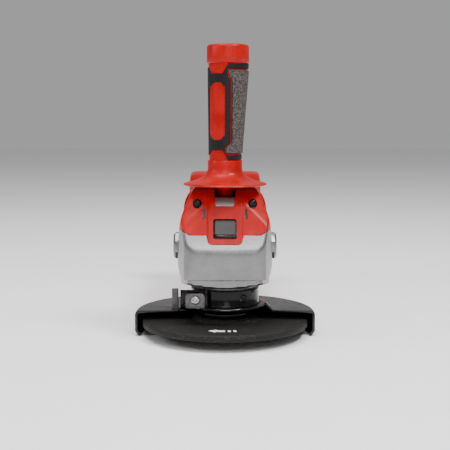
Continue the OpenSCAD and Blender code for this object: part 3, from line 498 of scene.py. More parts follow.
class Graph:
    """A material's node graph, with one Principled shader."""

    def __init__(self, name: str) -> None:
        """Starts a material of that name.

        Args:
            name: The material's name.
        """
        self.material = bpy.data.materials.new(name)
        self.material.use_nodes = True
        self.tree = self.material.node_tree
        self.shader = next(n for n in self.tree.nodes if n.type == "BSDF_PRINCIPLED")

    def node(
        self, kind: str, settings: dict[str, object] | None = None, inputs: dict | None = None
    ) -> bpy.types.Node:
        """Creates any node.

        Args:
            kind: The node's type name.
            settings: Properties set before its sockets, such as an operation.
            inputs: Socket values or links, by socket name or number.

        Returns:
            The new node.
        """
        made = self.tree.nodes.new(kind)
        for key, value in (settings or {}).items():
            setattr(made, key, value)
        for key, value in (inputs or {}).items():
            value = value.socket if isinstance(value, Field) else value
            if isinstance(value, bpy.types.NodeSocket):
                self.tree.links.new(value, made.inputs[key])
            else:
                made.inputs[key].default_value = value
        return made

    def place(self) -> bpy.types.NodeSocket:
        """Object coordinates, in metres in the tool's own axes."""
        return self.node("ShaderNodeTexCoord").outputs["Object"]

    def noise(
        self, size: float, detail: float = 3.0, rough: float = 0.5, stretch: Colour = (1, 1, 1)
    ) -> Field:
        """Cloudy noise from 0 to 1.

        Args:
            size: The size of its lumps in millimetres.
            detail: Octaves.
            rough: How strongly the finer octaves count.
            stretch: Factors on the three axes before the noise is read.

        Returns:
            The noise.
        """
        where = self.node("ShaderNodeMapping", None, {"Vector": self.place(), "Scale": stretch}).outputs[0]
        made = self.node(
            "ShaderNodeTexNoise",
            None,
            {"Vector": where, "Scale": 1 / (size * MM), "Detail": detail, "Roughness": rough},
        )
        return Field(self, made.outputs[0])

    def cells(self, size: float) -> Field:
        """The distance to the nearest of many scattered points, for grit and pebble grain."""
        made = self.node(
            "ShaderNodeTexVoronoi", {"feature": "F1"}, {"Vector": self.place(), "Scale": 1 / (size * MM)}
        )
        return Field(self, made.outputs["Distance"])

    def blend(self, share: Field, first: object, second: object) -> bpy.types.NodeSocket:
        """Mixes two colours, the second by the share.

        Args:
            share: The second colour's share, from 0 to 1.
            first: A colour or a colour socket.
            second: A colour or a colour socket.

        Returns:
            The socket of the mixed colour.
        """
        colours = [(*c, 1.0) if isinstance(c, tuple) else c for c in (first, second)]
        made = self.node("ShaderNodeMix", {"data_type": "RGBA"}, {0: share, 6: colours[0], 7: colours[1]})
        return made.outputs[2]

    def constants(self, **values: float) -> None:
        """Sets fixed numbers on the shader, spaces in socket names written as underscores."""
        for key, value in values.items():
            self.shader.inputs[key.replace("_", " ")].default_value = value

    def feed(self, **values: object) -> None:
        """Links varying fields or colours to the shader's sockets."""
        for key, value in values.items():
            socket = value.socket if isinstance(value, Field) else value
            self.tree.links.new(socket, self.shader.inputs[key.replace("_", " ")])

    def relief(self, height: Field, depth: float, strength: float = 1.0) -> None:
        """Bumps the surface by a height field, depth in millimetres."""
        bump = self.node(
            "ShaderNodeBump", None, {"Height": height, "Distance": depth * MM, "Strength": strength}
        )
        self.tree.links.new(bump.outputs[0], self.shader.inputs["Normal"])


# ------------------------------------------------------------------ finishes


def shade(colour: Colour, factor: float, lift: float = 0.0) -> Colour:
    """A colour made darker or lighter by a factor, and lifted by a constant."""
    return tuple(min(1.0, c * factor + lift) for c in colour)


@dataclass(frozen=True)
class Finish:
    """A surface finish. Each kind builds one material, once."""

    name: str
    colour: Colour

    def material(self) -> bpy.types.Material:
        """The finish's material, made on first use.

        Returns:
            The material.
        """
        found = bpy.data.materials.get(self.name)
        if found:
            return found
        graph = Graph(self.name)
        self.paint(graph)
        return graph.material

    def paint(self, graph: Graph) -> None:
        """Fills the graph. Each kind of finish has its own."""
        raise NotImplementedError


@dataclass(frozen=True)
class MouldedPlastic(Finish):
    """Moulded plastic: fine spark-eroded grain, faint flow clouds, a soft sheen."""

    roughness: float = 0.4
    grain: float = 0.28
    coat: float = 0.12

    def paint(self, graph: Graph) -> None:
        """Grain as bump, clouds in colour and roughness.

        Args:
            graph: The graph of the finish's material.
        """
        clouds = graph.noise(16.0, 4.0, 0.6)
        fine = graph.noise(self.grain, 2.0, 0.6)
        dark, light = shade(self.colour, 0.86), shade(self.colour, 1.08, 0.004)
        graph.feed(
            Base_Color=graph.blend(clouds.step(0.35, 0.65), dark, light),
            Roughness=self.roughness + 0.12 * (clouds - 0.5) + 0.08 * (fine - 0.5),
        )
        graph.constants(Coat_Weight=self.coat, Coat_Roughness=0.25, IOR=1.5, Specular_IOR_Level=0.12)
        graph.relief(fine, 0.02, 0.55)


@dataclass(frozen=True)
class CastMetal(Finish):
    """Bead-blasted cast aluminium with a silver lacquer: tiny pits, soft clouds."""

    roughness: float = 0.36
    metallic: float = 0.75

    def paint(self, graph: Graph) -> None:
        """Sparkle and pits at two scales.

        Args:
            graph: The graph of the finish's material.
        """
        pits = graph.noise(0.45, 3.0, 0.7)
        clouds = graph.noise(12.0, 3.0, 0.5)
        sparkle = graph.cells(0.35).step(0.3, 0.05)
        dark, light = shade(self.colour, 0.9), shade(self.colour, 1.1)
        graph.feed(
            Base_Color=graph.blend((clouds * 0.6 + pits * 0.4).step(0.35, 0.65), dark, light),
            Roughness=self.roughness + 0.12 * (clouds - 0.5) + 0.1 * (pits - 0.5) - 0.06 * sparkle,
        )
        graph.constants(Metallic=self.metallic, Coat_Weight=0.15, Coat_Roughness=0.3)
        graph.relief(pits, 0.03, 0.5)


@dataclass(frozen=True)
class GlossEnamel(Finish):
    """Gloss enamel on pressed steel: slight orange peel and a clear coat."""

    roughness: float = 0.22
    gloss: float = 0.3

    def paint(self, graph: Graph) -> None:
        """Orange peel as bump, dust and rubbing in the roughness.

        Args:
            graph: The graph of the finish's material.
        """
        peel = graph.noise(1.6, 2.0, 0.5)
        rub = graph.noise(9.0, 5.0, 0.65)
        dark, light = shade(self.colour, 0.8), shade(self.colour, 1.5, 0.003)
        graph.feed(
            Base_Color=graph.blend(rub.step(0.4, 0.7), dark, light),
            Roughness=self.roughness + 0.16 * rub.step(0.45, 0.75),
        )
        graph.constants(Coat_Weight=0.8 * self.gloss, Coat_Roughness=0.12, Specular_IOR_Level=self.gloss)
        graph.relief(peel, 0.05, 0.35)


@dataclass(frozen=True)
class TurnedSteel(Finish):
    """Turned, ground or plated metal: fine lines round the part and small stains."""

    roughness: float = 0.3
    metallic: float = 1.0

    def paint(self, graph: Graph) -> None:
        """Stretched noise for tool marks, clouds for tarnish.

        Args:
            graph: The graph of the finish's material.
        """
        lines = graph.noise(0.5, 2.0, 0.6, (0.15, 0.15, 3.0))
        stains = graph.noise(5.0, 4.0, 0.6)
        graph.feed(
            Base_Color=graph.blend(stains.step(0.4, 0.7), self.colour, shade(self.colour, 0.75)),
            Roughness=self.roughness + 0.15 * (lines - 0.5) + 0.15 * (stains - 0.5),
        )
        graph.constants(Metallic=self.metallic)
        graph.relief(lines, 0.02, 0.4)


@dataclass(frozen=True)
class BondedGrit(Finish):
    """Resin-bonded abrasive: coarse dark grains with brown and grey speckles."""

    def paint(self, graph: Graph) -> None:
        """Two sizes of grain, the lighter ones scattered.

        Args:
            graph: The graph of the finish's material.
        """
        coarse = graph.cells(1.3)
        fine = graph.noise(0.5, 3.0, 0.8)
        scatter = graph.noise(0.9, 2.0, 0.5)
        speck = (1 - coarse.step(0.15, 0.42)) * scatter.step(0.52, 0.66)
        base = graph.blend(fine.step(0.3, 0.7), (0.004, 0.004, 0.004), (0.014, 0.013, 0.012))
        graph.feed(
            Base_Color=graph.blend(speck * 0.8, base, (0.17, 0.14, 0.12)),
            Roughness=0.62 + 0.3 * (fine - 0.5),
        )
        graph.constants(Specular_IOR_Level=0.2)
        graph.relief(fine * 0.6 + (1 - coarse) * 0.7, 0.35, 0.9)


@dataclass(frozen=True)
class PlainSoft(Finish):
    """Felt, carbon, windings and other matt inner surfaces."""

    roughness: float = 0.7
    lump: float = 0.7
    metallic: float = 0.0

    def paint(self, graph: Graph) -> None:
        """One scale of lumps in colour, roughness and bump.

        Args:
            graph: The graph of the finish's material.
        """
        lumps = graph.noise(self.lump, 4.0, 0.7)
        graph.feed(
            Base_Color=graph.blend(lumps.step(0.35, 0.65), shade(self.colour, 0.7), self.colour),
            Roughness=self.roughness + 0.2 * (lumps - 0.5),
        )
        graph.constants(Metallic=self.metallic)
        graph.relief(lumps, 0.1, 0.5)


@dataclass(frozen=True)
class SoftTouch(Finish):
    """Soft rubber, smooth in places and pebbled on its raised panels.

    The attribute panel, from 0 to 1 over the piece, says where the pebbles are.
    """

    panel: Colour = (0.066, 0.057, 0.053)

    def paint(self, graph: Graph) -> None:
        """Pebbles and light speckles where the panel attribute is 1.

        Args:
            graph: The graph of the finish's material.
        """
        mask = Field(graph, graph.node("ShaderNodeAttribute", {"attribute_name": "panel"}).outputs["Fac"])
        pebble = graph.cells(1.25)
        worn = graph.noise(1.0, 3.0, 0.75)
        fine = graph.noise(0.3, 2.0, 0.6)
        speck = (1 - pebble.step(0.1, 0.75)) * worn.step(0.3, 0.65)
        rough_colour = graph.blend(speck, shade(self.panel, 0.5), shade(self.panel, 2.2))
        smooth_colour = graph.blend(worn.step(0.3, 0.7), self.colour, shade(self.colour, 1.5))
        graph.feed(
            Base_Color=graph.blend(mask, smooth_colour, rough_colour),
            Roughness=0.5 + 0.16 * mask + 0.15 * (worn - 0.5),
        )
        graph.constants(IOR=1.45, Specular_IOR_Level=0.25)
        graph.relief((1 - pebble) * mask + fine * 0.1, 0.4, 0.9)


RED = MouldedPlastic("red nylon", (0.34, 0.001, 0.0005), 0.32, 0.3, 0.03)
GREY = MouldedPlastic("grey nylon", (0.06, 0.056, 0.054), 0.45, 0.4, 0.05)
BLACK = MouldedPlastic("black nylon", (0.012, 0.012, 0.012), 0.42, 0.35, 0.1)
SILVER = CastMetal("cast aluminium", (0.185, 0.182, 0.188), 0.28, 0.8)
# Painted light: the guard's tab and the clamp's front ear are the same black enamelled steel as the guard,
# and this lighter grey stands in for the light that falls on them
ENAMEL_PAINTED_LIT = TurnedSteel("black enamel painted lit grey", (0.11, 0.105, 0.108), 0.42, 0.7)
ENAMEL = GlossEnamel("black enamel", (0.004, 0.0038, 0.004))
COLLAR = GlossEnamel("black collar", (0.003, 0.0028, 0.003), 0.16, 0.13)
STEEL = TurnedSteel("turned steel", (0.58, 0.57, 0.56), 0.28)
ZINC = TurnedSteel("zinc plating", (0.5, 0.48, 0.49), 0.35)
DARK = TurnedSteel("black oxide", (0.045, 0.045, 0.047), 0.34, 0.8)
BLACKED = TurnedSteel("blacked screws", (0.012, 0.012, 0.013), 0.16, 0.6)
GEAR = TurnedSteel("gear steel", (0.33, 0.32, 0.31), 0.4)
BRONZE = TurnedSteel("sintered bronze", (0.55, 0.36, 0.17), 0.5)
BRASS = TurnedSteel("pressed brass", (0.7, 0.5, 0.2), 0.3)
COPPER = TurnedSteel("enamelled copper", (0.6, 0.25, 0.1), 0.35)
GRIT = BondedGrit("bonded grit", (0.012, 0.012, 0.012))
RUBBER = SoftTouch("soft rubber", (0.004, 0.0035, 0.0035))
FELT = PlainSoft("felt", (0.35, 0.28, 0.18), 0.95, 0.5)
CARBON = PlainSoft("carbon", (0.03, 0.03, 0.032), 0.55, 0.3)
IRON = PlainSoft("stacked sheet", (0.2, 0.21, 0.22), 0.5, 0.4, 0.9)
IVORY = MouldedPlastic("ivory nylon", (0.68, 0.64, 0.52), 0.5)
WHITE = MouldedPlastic("white print", (0.75, 0.75, 0.74), 0.6)

SLOT_FINISH: dict[str, Finish] = {
    "cast_aluminium": SILVER,
    "red_plastic": RED,
    "black_rubber": RUBBER,
    "grey_plastic": GREY,
    "black_plastic": BLACK,
    "black_paint": ENAMEL,
    "bright_steel": STEEL,
    "dark_steel": DARK,
    "gear_steel": GEAR,
    "screw_steel": ZINC,
    "bronze": BRONZE,
    "felt": FELT,
    "abrasive": GRIT,
    "lamination_steel": IRON,
    "copper": COPPER,
    "brass": BRASS,
    "carbon": CARBON,
    "fan_plastic": IVORY,
}


def add_piece(
    name: str,
    shape: Shape,
    finish: Finish,
    body: Body,
    replaces: Sequence[str] = (),
    cuts: Iterable[tuple[Cut, Shape]] = (),
    bevel: float = 0.0,
) -> bpy.types.Object:
    """Makes a piece from a shape, dresses it, hangs it on its body and hides the CAD nodes that it replaces.

    Args:
        name: The piece's name.
        shape: Its form.
        finish: Its finish.
        body: The body that it rides on.
        replaces: The CAD nodes that it stands for.
        cuts: Shapes cut away, kept or joined first.
        bevel: Width of the bevel on hard edges, in millimetres.

    Returns:
        The new object.
    """
    obj = bpy.data.objects.new(name, shape.mesh(name))
    bpy.context.collection.objects.link(obj)
    carve(obj, cuts)
    soften(obj, bevel)
    obj.data.materials.clear()
    obj.data.materials.append(finish.material())
    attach(obj, body.value)
    if replaces:
        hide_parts(*replaces)
    LOG.info("made %s with %d faces", name, len(obj.data.polygons))
    return obj


# ------------------------------------------------------------------ sub-assemblies


@dataclass(frozen=True)
class Datum:
    """The places that the pieces share, in millimetres, read from the frame."""

    spindle_y: float
    motor_z: float
    seam_z: float
    cover_top: float
    band_z: float
    tail_y: float

    @classmethod
    def read(cls) -> Datum:
        """Takes each place from the boxes of the CAD nodes.

        Returns:
            The places, in millimetres.
        """
        disc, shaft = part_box("grinding_disc"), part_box("armature_shaft")
        housing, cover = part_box("gear_housing"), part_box("head_cover")
        band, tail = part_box("guard_band"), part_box("left_shell")
        return cls(
            spindle_y=(disc[0][1] + disc[1][1]) / 2 / MM,
            motor_z=(shaft[0][2] + shaft[1][2]) / 2 / MM,
            seam_z=housing[0][2] / MM,
            cover_top=cover[1][2] / MM,
            band_z=band[0][2] / MM,
            tail_y=tail[1][1] / MM,
        )


@dataclass(frozen=True)
class PanScrew:
    """A domed screw with a cross in its head. It points back along Y from its seat."""

    head_r: float
    head_h: float
    shank_r: float
    shank_len: float

    def shape(self, seat: Sequence[float]) -> Shape:
        """The screw on its seat, with a dome above a short straight side.

        Up the dome the radius falls as the cosine of one angle and the height rises as the sine of another.

        Args:
            seat: The middle of the seat.

        Returns:
            The head and the shank as one shape.
        """
        side, lean, rise = 0.35 * self.head_h, 1.05, 1.57
        turn = np.linspace(0, 1, 10)[1:]
        dome = np.column_stack(
            [self.head_r * np.cos(lean * turn), side + (self.head_h - side) * np.sin(rise * turn)]
        )
        rows = [(self.shank_r, -self.shank_len), (self.shank_r, 0), (self.head_r, 0), (self.head_r, side)]
        return revolve(rows + dome.tolist(), 48).turned(TO_THE_FRONT).moved(*seat)

    def cross(self, seat: Sequence[float]) -> list[tuple[Cut, Shape]]:
        """The two bars cut into the head.

        Args:
            seat: The middle of the seat.

        Returns:
            One cut for each bar.
        """
        reach, half, floor = 0.65 * self.head_r, 0.13 * self.head_r, 0.45 * self.head_h
        bars = ((reach, half), (half, reach))
        return away(*(block((-x, -9, -z), (x, -floor, z)).moved(*seat) for x, z in bars))


@dataclass
class GearHead:
    """The cast gear housing and bearing plate, and the red cover over them."""

    datum: Datum
    half_width: float = 35.9
    nose: float = 37.0
    rear: float = 38.0
    crown_half: float = 25.2
    edge_z: float = 82.0
    ridge_z: float = 69.5
    foot_rise: float = 8.2
    crown_back: float = 22.0
    crown_chamfer: float = 3.0
    corner_power: float = 80.0
    cover_wall: float = 2.2
    cover_gap: float = 0.2
    joint_gap: float = 0.35
    socket_z: float = 68.7
    socket_r: float = 4.05
    socket_floor: float = 26.6
    boss_r: float = 9.5
    boss_face: float = 38.6
    recess_half: float = 8.6
    recess_low: float = 77.2
    recess_high: float = 91.2
    recess_back: float = 20.5
    screw_x: float = 20.3
    screw_seat: float = 13.8
    screw_drop: float = 11.0
    slot_x: float = 15.4
    clear: float = 60.0

    @property
    def middle_z(self) -> float:
        """Half way between the seam and the cover's top."""
        return (self.datum.seam_z + self.datum.cover_top) / 2

    def planes(self, inset: float) -> Array:
        """The head's outline in three views as planes, moved inwards by inset.

        The lowest planes lie below the seam, so that the form can be cut off flat there.

        Args:
            inset: How far every plane is moved inwards.

        Returns:
            Rows of outward normal and distance from the point where the spindle line meets Z = 0.
        """
        d, w, n = self.datum, self.half_width, self.nose
        top, low, foot = d.cover_top, d.seam_z, d.seam_z + self.foot_rise
        run_on = 4.0
        half = [
            (w - 2.9, low), (w, foot), (w - 0.6, self.socket_z), (w - 1.3, self.edge_z), (31.2, top - 14),
            (26.8, top - 6), (self.crown_half, top - 2), (self.crown_half - 2.5, top),
        ]
        front = faces_of_outline(mirrored(half[:1]) + half + mirrored(half[1:]))
        crown = self.crown_back - n
        side = faces_of_outline(
            [
                (3 - n, low), (80, low), (80, top), (crown + 3, top), (crown, top - self.crown_chamfer),
                (0.8 - n, self.ridge_z), (-n, self.ridge_z - 3), (0.8 - n, foot),
            ]
        )
        half_plan = [(10, -n), (24, 0.6 - n), (29.5, 3.5 - n), (w, -11), (w, 80)]
        plan = faces_of_outline(mirrored(half_plan) + half_plan)
        cheeks = np.array([[s * 0.326, -0.653, 0.684, 86.9] for s in SIDES])
        rows = np.vstack(
            [np.insert(front, 1, 0.0, axis=1), np.insert(side, 0, 0.0, axis=1),
             np.insert(plan, 2, 0.0, axis=1), cheeks]
        )
        rows[rows[:, 2] < -0.9, 3] += run_on
        rows[:, 3] -= inset
        return rows

    def form(self, inset: float = 0.0, rows: int = 300) -> Shape:
        """The rounded head, moved inwards by inset, cut later at its rear face.

        Args:
            inset: How far the surface is moved inwards.
            rows: Rows of points from pole to pole.

        Returns:
            The closed form, in the frame's place.
        """
        centre = (0, 10, self.middle_z)
        shape = soft_solid(self.planes(inset), centre, self.corner_power, rows, rows * 4 // 3)
        return shape.moved(y=self.datum.spindle_y)

    def zone(self, gap: float) -> Shape:
        """The stretch of the head under the cover, with its tongue down the front.

        Args:
            gap: How far the edge is lowered, for the joint line between the two castings.

        Returns:
            The zone as a prism along Y.
        """
        d, w, z = self.datum, self.half_width, self.edge_z
        right = [
            (9.6, 73.6), (11.6, 74.4), (12.6, 76.4), (13.6, z - 1.9), (26, z - 1.9), (w - 1.6, z + 2.4),
            (w + 3, z + 2.4), (w + 3, d.cover_top + 3),
        ]
        outline = [(x, h - gap) for x, h in right + mirrored(right)]
        return front_prism(outline, d.spindle_y - self.nose - 5, d.spindle_y + self.rear)

    def rear_cut(self) -> Shape:
        """Everything behind the head's rear face."""
        y = self.datum.spindle_y + self.rear
        return block((-80, y, -10), (80, y + 90, 200))

    def recess(self, grow: float) -> Shape:
        """The room of the lock button, with rounded corners.

        Args:
            grow: How far every side is moved outwards.

        Returns:
            The room as a cutter.
        """
        corner_r = 1.6
        half = self.recess_half + grow - corner_r
        low, high = self.recess_low - grow + corner_r, self.recess_high + grow - corner_r
        turns = np.radians(np.linspace(0, 90, 6))
        outline = [
            (x + corner_r * math.cos(t + quarter * TAU / 4), z + corner_r * math.sin(t + quarter * TAU / 4))
            for quarter, (x, z) in enumerate(((half, high), (-half, high), (-half, low), (half, low)))
            for t in turns
        ]
        y = self.datum.spindle_y
        return front_prism(outline, y - self.nose - 5, y - self.recess_back)

    def ridge(self) -> Shape:
        """The raised spine down the middle of the cover, a soft solid of its own.

        The head's planes are kept, the side view is moved out, and two steep planes close in on
        both sides, so that the spine dies away into the cheeks.

        Returns:
            The spine as a closed form.
        """
        rise, half_w, power = 0.9, 13.2, 40.0
        rows = self.planes(0.0)
        rows = rows[np.abs(rows[:, 0]) < 0.9]
        rows[(rows[:, 0] == 0) & (rows[:, 1] < -0.2), 3] += rise
        flanks = [[s, 0.0, 0.0, half_w] for s in SIDES]
        shape = soft_solid(np.vstack([rows, flanks]), (0, 4, self.middle_z), power, 260, 360)
        return shape.moved(y=self.datum.spindle_y)

    def build(self) -> None:
        """Makes the cover, the housing, the bearing plate, the lock's button and spring, and the screws."""
        self.build_cover()
        self.build_housing()
        self.build_plate()
        self.build_button()
        self.build_spring()
        self.build_screws()

    def build_cover(self) -> None:
        """The red cover: the head's skin above the edge, with its openings."""
        y, top = self.datum.spindle_y, self.datum.cover_top
        ahead = y - self.clear
        stem_notch = front_prism(
            [(-6.7, top - 12.6), (6.7, top - 12.6), (8.7, top + 4), (-8.7, top + 4)], ahead, y
        )
        stem_mouth = rod(8.7, top - 6, top + 9).moved(y=y)
        screw_holes = [rod_back(3.3, ahead, y, s * self.screw_x, top - self.screw_drop) for s in SIDES]
        air_slots = [
            front_prism(
                [(s * 15.6 - 1.1, top - 21), (s * 15.6 + 0.9, top - 21.6), (s * 15.2 + 1.0, top - 13.6),
                 (s * 15.2 - 0.8, top - 14.4)],
                ahead, y - 6,
            )
            for s in SIDES
        ]
        openings = [self.recess(0.0), stem_notch, stem_mouth, *screw_holes, *air_slots]
        add_piece(
            "cover_red", self.form(), RED, Body.TOOL, ["head_cover"],
            joined(self.ridge()) + [(Cut.KEEP, self.zone(0.0))]
            + away(self.form(self.cover_wall, 180), self.rear_cut(), *openings),
            bevel=0.35,
        )

    def build_housing(self) -> None:
        """The cast housing: a body under the cover, handle sockets, and room for the gears."""
        d = self.datum
        y, top = d.spindle_y, d.cover_top
        side_sockets = [
            rod_across(self.socket_r, low, high, y, self.socket_z)
            for low, high in ((self.socket_floor, self.clear), (-self.clear, -self.socket_floor))
        ]
        top_socket = [rod(self.socket_r, 92, 140).moved(y=y), rod(11, 104, 140).moved(y=y)]
        screw_seats = [
            rod_back(3.2, y - self.clear, y - self.screw_seat, s * self.screw_x, top - self.screw_drop)
            for s in SIDES
        ]
        side_notches = [
            block((s * 36.9 - 2, y - 11, d.seam_z + 3.2), (s * 36.9 + 2, y + 11, d.seam_z + 9.2))
            for s in SIDES
        ]
        arm_slot = block((-3.4, y - 21, 80), (3.4, y - 7.5, 90))
        gear_room = rod(24.2, 30, 76).moved(y=y)
        pinion_bore = rod_back(13.05, y + 8, y + 90, z=d.motor_z)
        bush_bore = rod(6.6, 70, 90).moved(y=y)
        add_piece(
            "housing_cast", self.form(), SILVER, Body.TOOL, ["gear_housing"],
            away(self.zone(self.joint_gap)) + joined(self.inner_form()) + away(self.rear_cut())
            + joined(*(self.boss(s) for s in SIDES)) + away(block((-80, y - 80, -10), (80, y + 90, d.seam_z)))
            + away(*side_sockets, *top_socket, *screw_seats, *side_notches, self.recess(2.4))
            + away(*(self.slot_room(s) for s in SIDES), arm_slot, gear_room, pinion_bore, bush_bore),
            bevel=0.4,
        )

    def slot_room(self, side: int) -> Shape:
        """The dark room behind an air slot of the cover.

        Args:
            side: -1 for the left slot, 1 for the right one.

        Returns:
            The room as a cutter.
        """
        top, y = self.datum.cover_top, self.datum.spindle_y
        middle = side * self.slot_x
        return block((middle - 4.5, y - self.clear, top - 24), (middle + 3.2, y - 9, top - 11.5))

    def inner_form(self) -> Shape:
        """The housing's body under the cover, cut off flat at its top.

        Returns:
            The body, in the frame's place.
        """
        flat_top = 106
        y = self.datum.spindle_y
        obj = bpy.data.objects.new("inner", self.form(self.cover_wall + self.cover_gap, 150).mesh("inner"))
        bpy.context.collection.objects.link(obj)
        carve(obj, away(block((-80, y - 80, flat_top), (80, y + 80, 200))))
        points = np.empty(len(obj.data.vertices) * 3)
        obj.data.vertices.foreach_get("co", points)
        faces = [list(p.vertices) for p in obj.data.polygons]
        bpy.data.objects.remove(obj)
        return Shape(points.reshape(-1, 3) / MM, faces)

    def boss(self, side: int) -> Shape:
        """The eight-sided handle boss on one side, its outer rim chamfered.

        Args:
            side: -1 for the left boss, 1 for the right one.

        Returns:
            The boss, in the frame's place.
        """
        sides, root, chamfer = 8, 30.0, 1.5
        a = (np.arange(sides) + 0.5) * TAU / sides
        r = self.boss_r / math.cos(TAU / 2 / sides)
        rows = [(r, root), (r, self.boss_face - chamfer), (r - 1.4, self.boss_face)]
        rims = [np.column_stack([k * np.cos(a), k * np.sin(a), np.full(sides, h)]) for k, h in rows]
        shape = grid(np.stack(rims)).turned(ALONG_X)
        if side < 0:
            shape = shape.turned(HALF_TURN)
        return shape.moved(0, self.datum.spindle_y, self.socket_z)

    def build_plate(self) -> None:
        """The bearing plate: the head's plan carried down, its underside drawn in to a round neck.

        The underside is a cone of many planes, each with a normal of lean outwards and fall down.
        """
        d = self.datum
        y, seam = d.spindle_y, d.seam_z
        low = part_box("bearing_plate")[0][2] / MM
        inset, lap, depth = 2.75, 4.0, 8.4
        lean, fall, cone_r, facets = 0.313, 0.95, 25.6, 48
        rows = self.planes(inset)
        plan = rows[(rows[:, 2] == 0) & (np.abs(rows[:, 1]) + np.abs(rows[:, 0]) > 0)]
        turn = np.arange(facets) * TAU / facets
        reach = lean * cone_r - fall * (seam - depth)
        under = np.column_stack(
            [lean * np.cos(turn), lean * np.sin(turn), np.full(facets, -fall), np.full(facets, reach)]
        )
        flat = np.array([[0, 0, 1, seam + lap], [0, 0, -1, 8.3 - seam], [0, 1, 0, 29.5]])
        body = soft_solid(np.vstack([plan, under, flat]), (0, 0, seam - lap), 110.0, 120, 300)
        neck = rod(23.9, low, seam - 7, 96)
        screw_pockets = [
            rod(4.4, seam - 20, seam - 1.7).moved(x * 21, y + s * 22, 0) for x in SIDES for s in SIDES
        ]
        add_piece(
            "plate_cast", body.moved(y=y), SILVER, Body.TOOL, ["bearing_plate"],
            away(block((-80, -300, seam - 0.2), (80, 80, seam + 20))) + joined(neck.moved(y=y))
            + away(rod(9, 0, 90).moved(y=y), *screw_pockets),
            bevel=0.2,
        )

    def build_button(self) -> None:
        """The lock button: a pad that follows the slope, slightly hollow, on its arm.

        Its face is a grid of u across, from -1 to 1, and v up, from 0 to 1. The corners are drawn
        in, the middle is hollow, and the rim falls back by a square law near its edges.
        """
        d = self.datum
        low, high = (np.array(v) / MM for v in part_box("lock_button"))
        back_y = d.spindle_y - self.recess_back - 0.7
        u, v = np.meshgrid(np.linspace(-1, 1, 41), np.linspace(0, 1, 33))
        ends = np.abs(v * 2 - 1)
        pinch = 1 - 0.64 * np.clip(ends - 0.75, 0, 1) ** 2
        x = (high[0] - 0.05) * u * pinch
        z = low[2] + (high[2] - low[2]) * v
        slope = (self.crown_back - 0.8) / (d.cover_top - self.crown_chamfer - self.ridge_z)
        front = d.spindle_y - self.nose + 0.8 + (z - self.ridge_z) * slope
        hollow = 0.5 * (1 - u**2) * np.sin(math.pi * v)
        edge = 26.0 * np.clip(np.abs(u) - 0.82, 0, 1) ** 2 + 24.0 * np.clip(ends - 0.8, 0, 1) ** 2
        face = np.stack([x, front + 0.35 + hollow + 0.4 * edge, z], axis=-1)
        loop = np.concatenate([face[0, :], face[1:, -1], face[-1, -2::-1], face[-2:0:-1, 0]])
        loop_back = loop.copy()
        loop_back[:, 1] = back_y
        rim = grid(np.stack([loop, loop_back]), caps=False)
        n = len(loop)
        rim.faces.append(list(range(2 * n - 1, n - 1, -1)))
        pad = grid(face, wrap=False, caps=False) + rim
        arm = block((-3, back_y - 0.8, low[2] + 4.8), (3, high[1], low[2] + 8.8))
        obj = add_piece("button_pad", pad + arm, GREY, Body.LOCK, ["lock_button"])
        rework(obj, lambda work: bmesh.ops.remove_doubles(work, verts=work.verts, dist=0.002 * MM))
        face_outwards(obj)

    def build_spring(self) -> None:
        """The spring under the lock button's arm."""
        low, high = (np.array(v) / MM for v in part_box("lock_spring"))
        middle = (low + high) / 2
        wire, turns, travel = 0.2, 4, 2.9
        shape = coil((high[0] - low[0]) / 2 - wire, wire, turns, low[2] + wire + 0.05, high[2] - wire - 0.15)
        spring = add_piece(
            "spring_coil", shape.moved(middle[0], middle[1]), STEEL, Body.TOOL,
            ["lock_spring"],
        )
        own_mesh(spring)

    def build_screws(self) -> None:
        """The two black screws that hold the cover down."""
        d = self.datum
        screw = PanScrew(head_r=2.9, head_h=2.3, shank_r=1.5, shank_len=14.0)
        left, right = (
            (s * self.screw_x, d.spindle_y - self.screw_seat, d.cover_top - self.screw_drop) for s in SIDES
        )
        add_piece(
            "cover_screw_heads", screw.shape(left) + screw.shape(right), BLACKED, Body.TOOL,
            ["cover_screws"], screw.cross(left) + screw.cross(right), bevel=0.12,
        )


def coil(radius: float, wire: float, turns: int, low: float, high: float) -> Shape:
    """A wound wire: its centre runs round Z at one radius while it climbs, its section a circle.

    Args:
        radius: From the axis to the wire's centre.
        wire: The wire's own radius.
        turns: How many turns.
        low: Height of the first centre.
        high: Height of the last.

    Returns:
        The closed shape.
    """
    steps, sides = 40, 10
    t = np.linspace(0, 1, turns * steps + 1)[:, None]
    b = (np.arange(sides) * TAU / sides)[None, :]
    a = t * turns * TAU
    r = radius + wire * np.cos(b)
    z = low + (high - low) * t - wire * np.sin(b)
    return grid(np.stack([r * np.cos(a), r * np.sin(a), z], axis=-1))


def rework(obj: bpy.types.Object, change: Callable[[bmesh.types.BMesh], object]) -> None:
    """Changes a piece's mesh through bmesh.

    Args:
        obj: The piece.
        change: What is done to its mesh.
    """
    work = bmesh.new()
    work.from_mesh(obj.data)
    change(work)
    work.to_mesh(obj.data)
    work.free()


def face_outwards(obj: bpy.types.Object) -> None:
    """Turns every face of a closed piece outwards."""
    rework(obj, lambda work: bmesh.ops.recalc_face_normals(work, faces=work.faces))


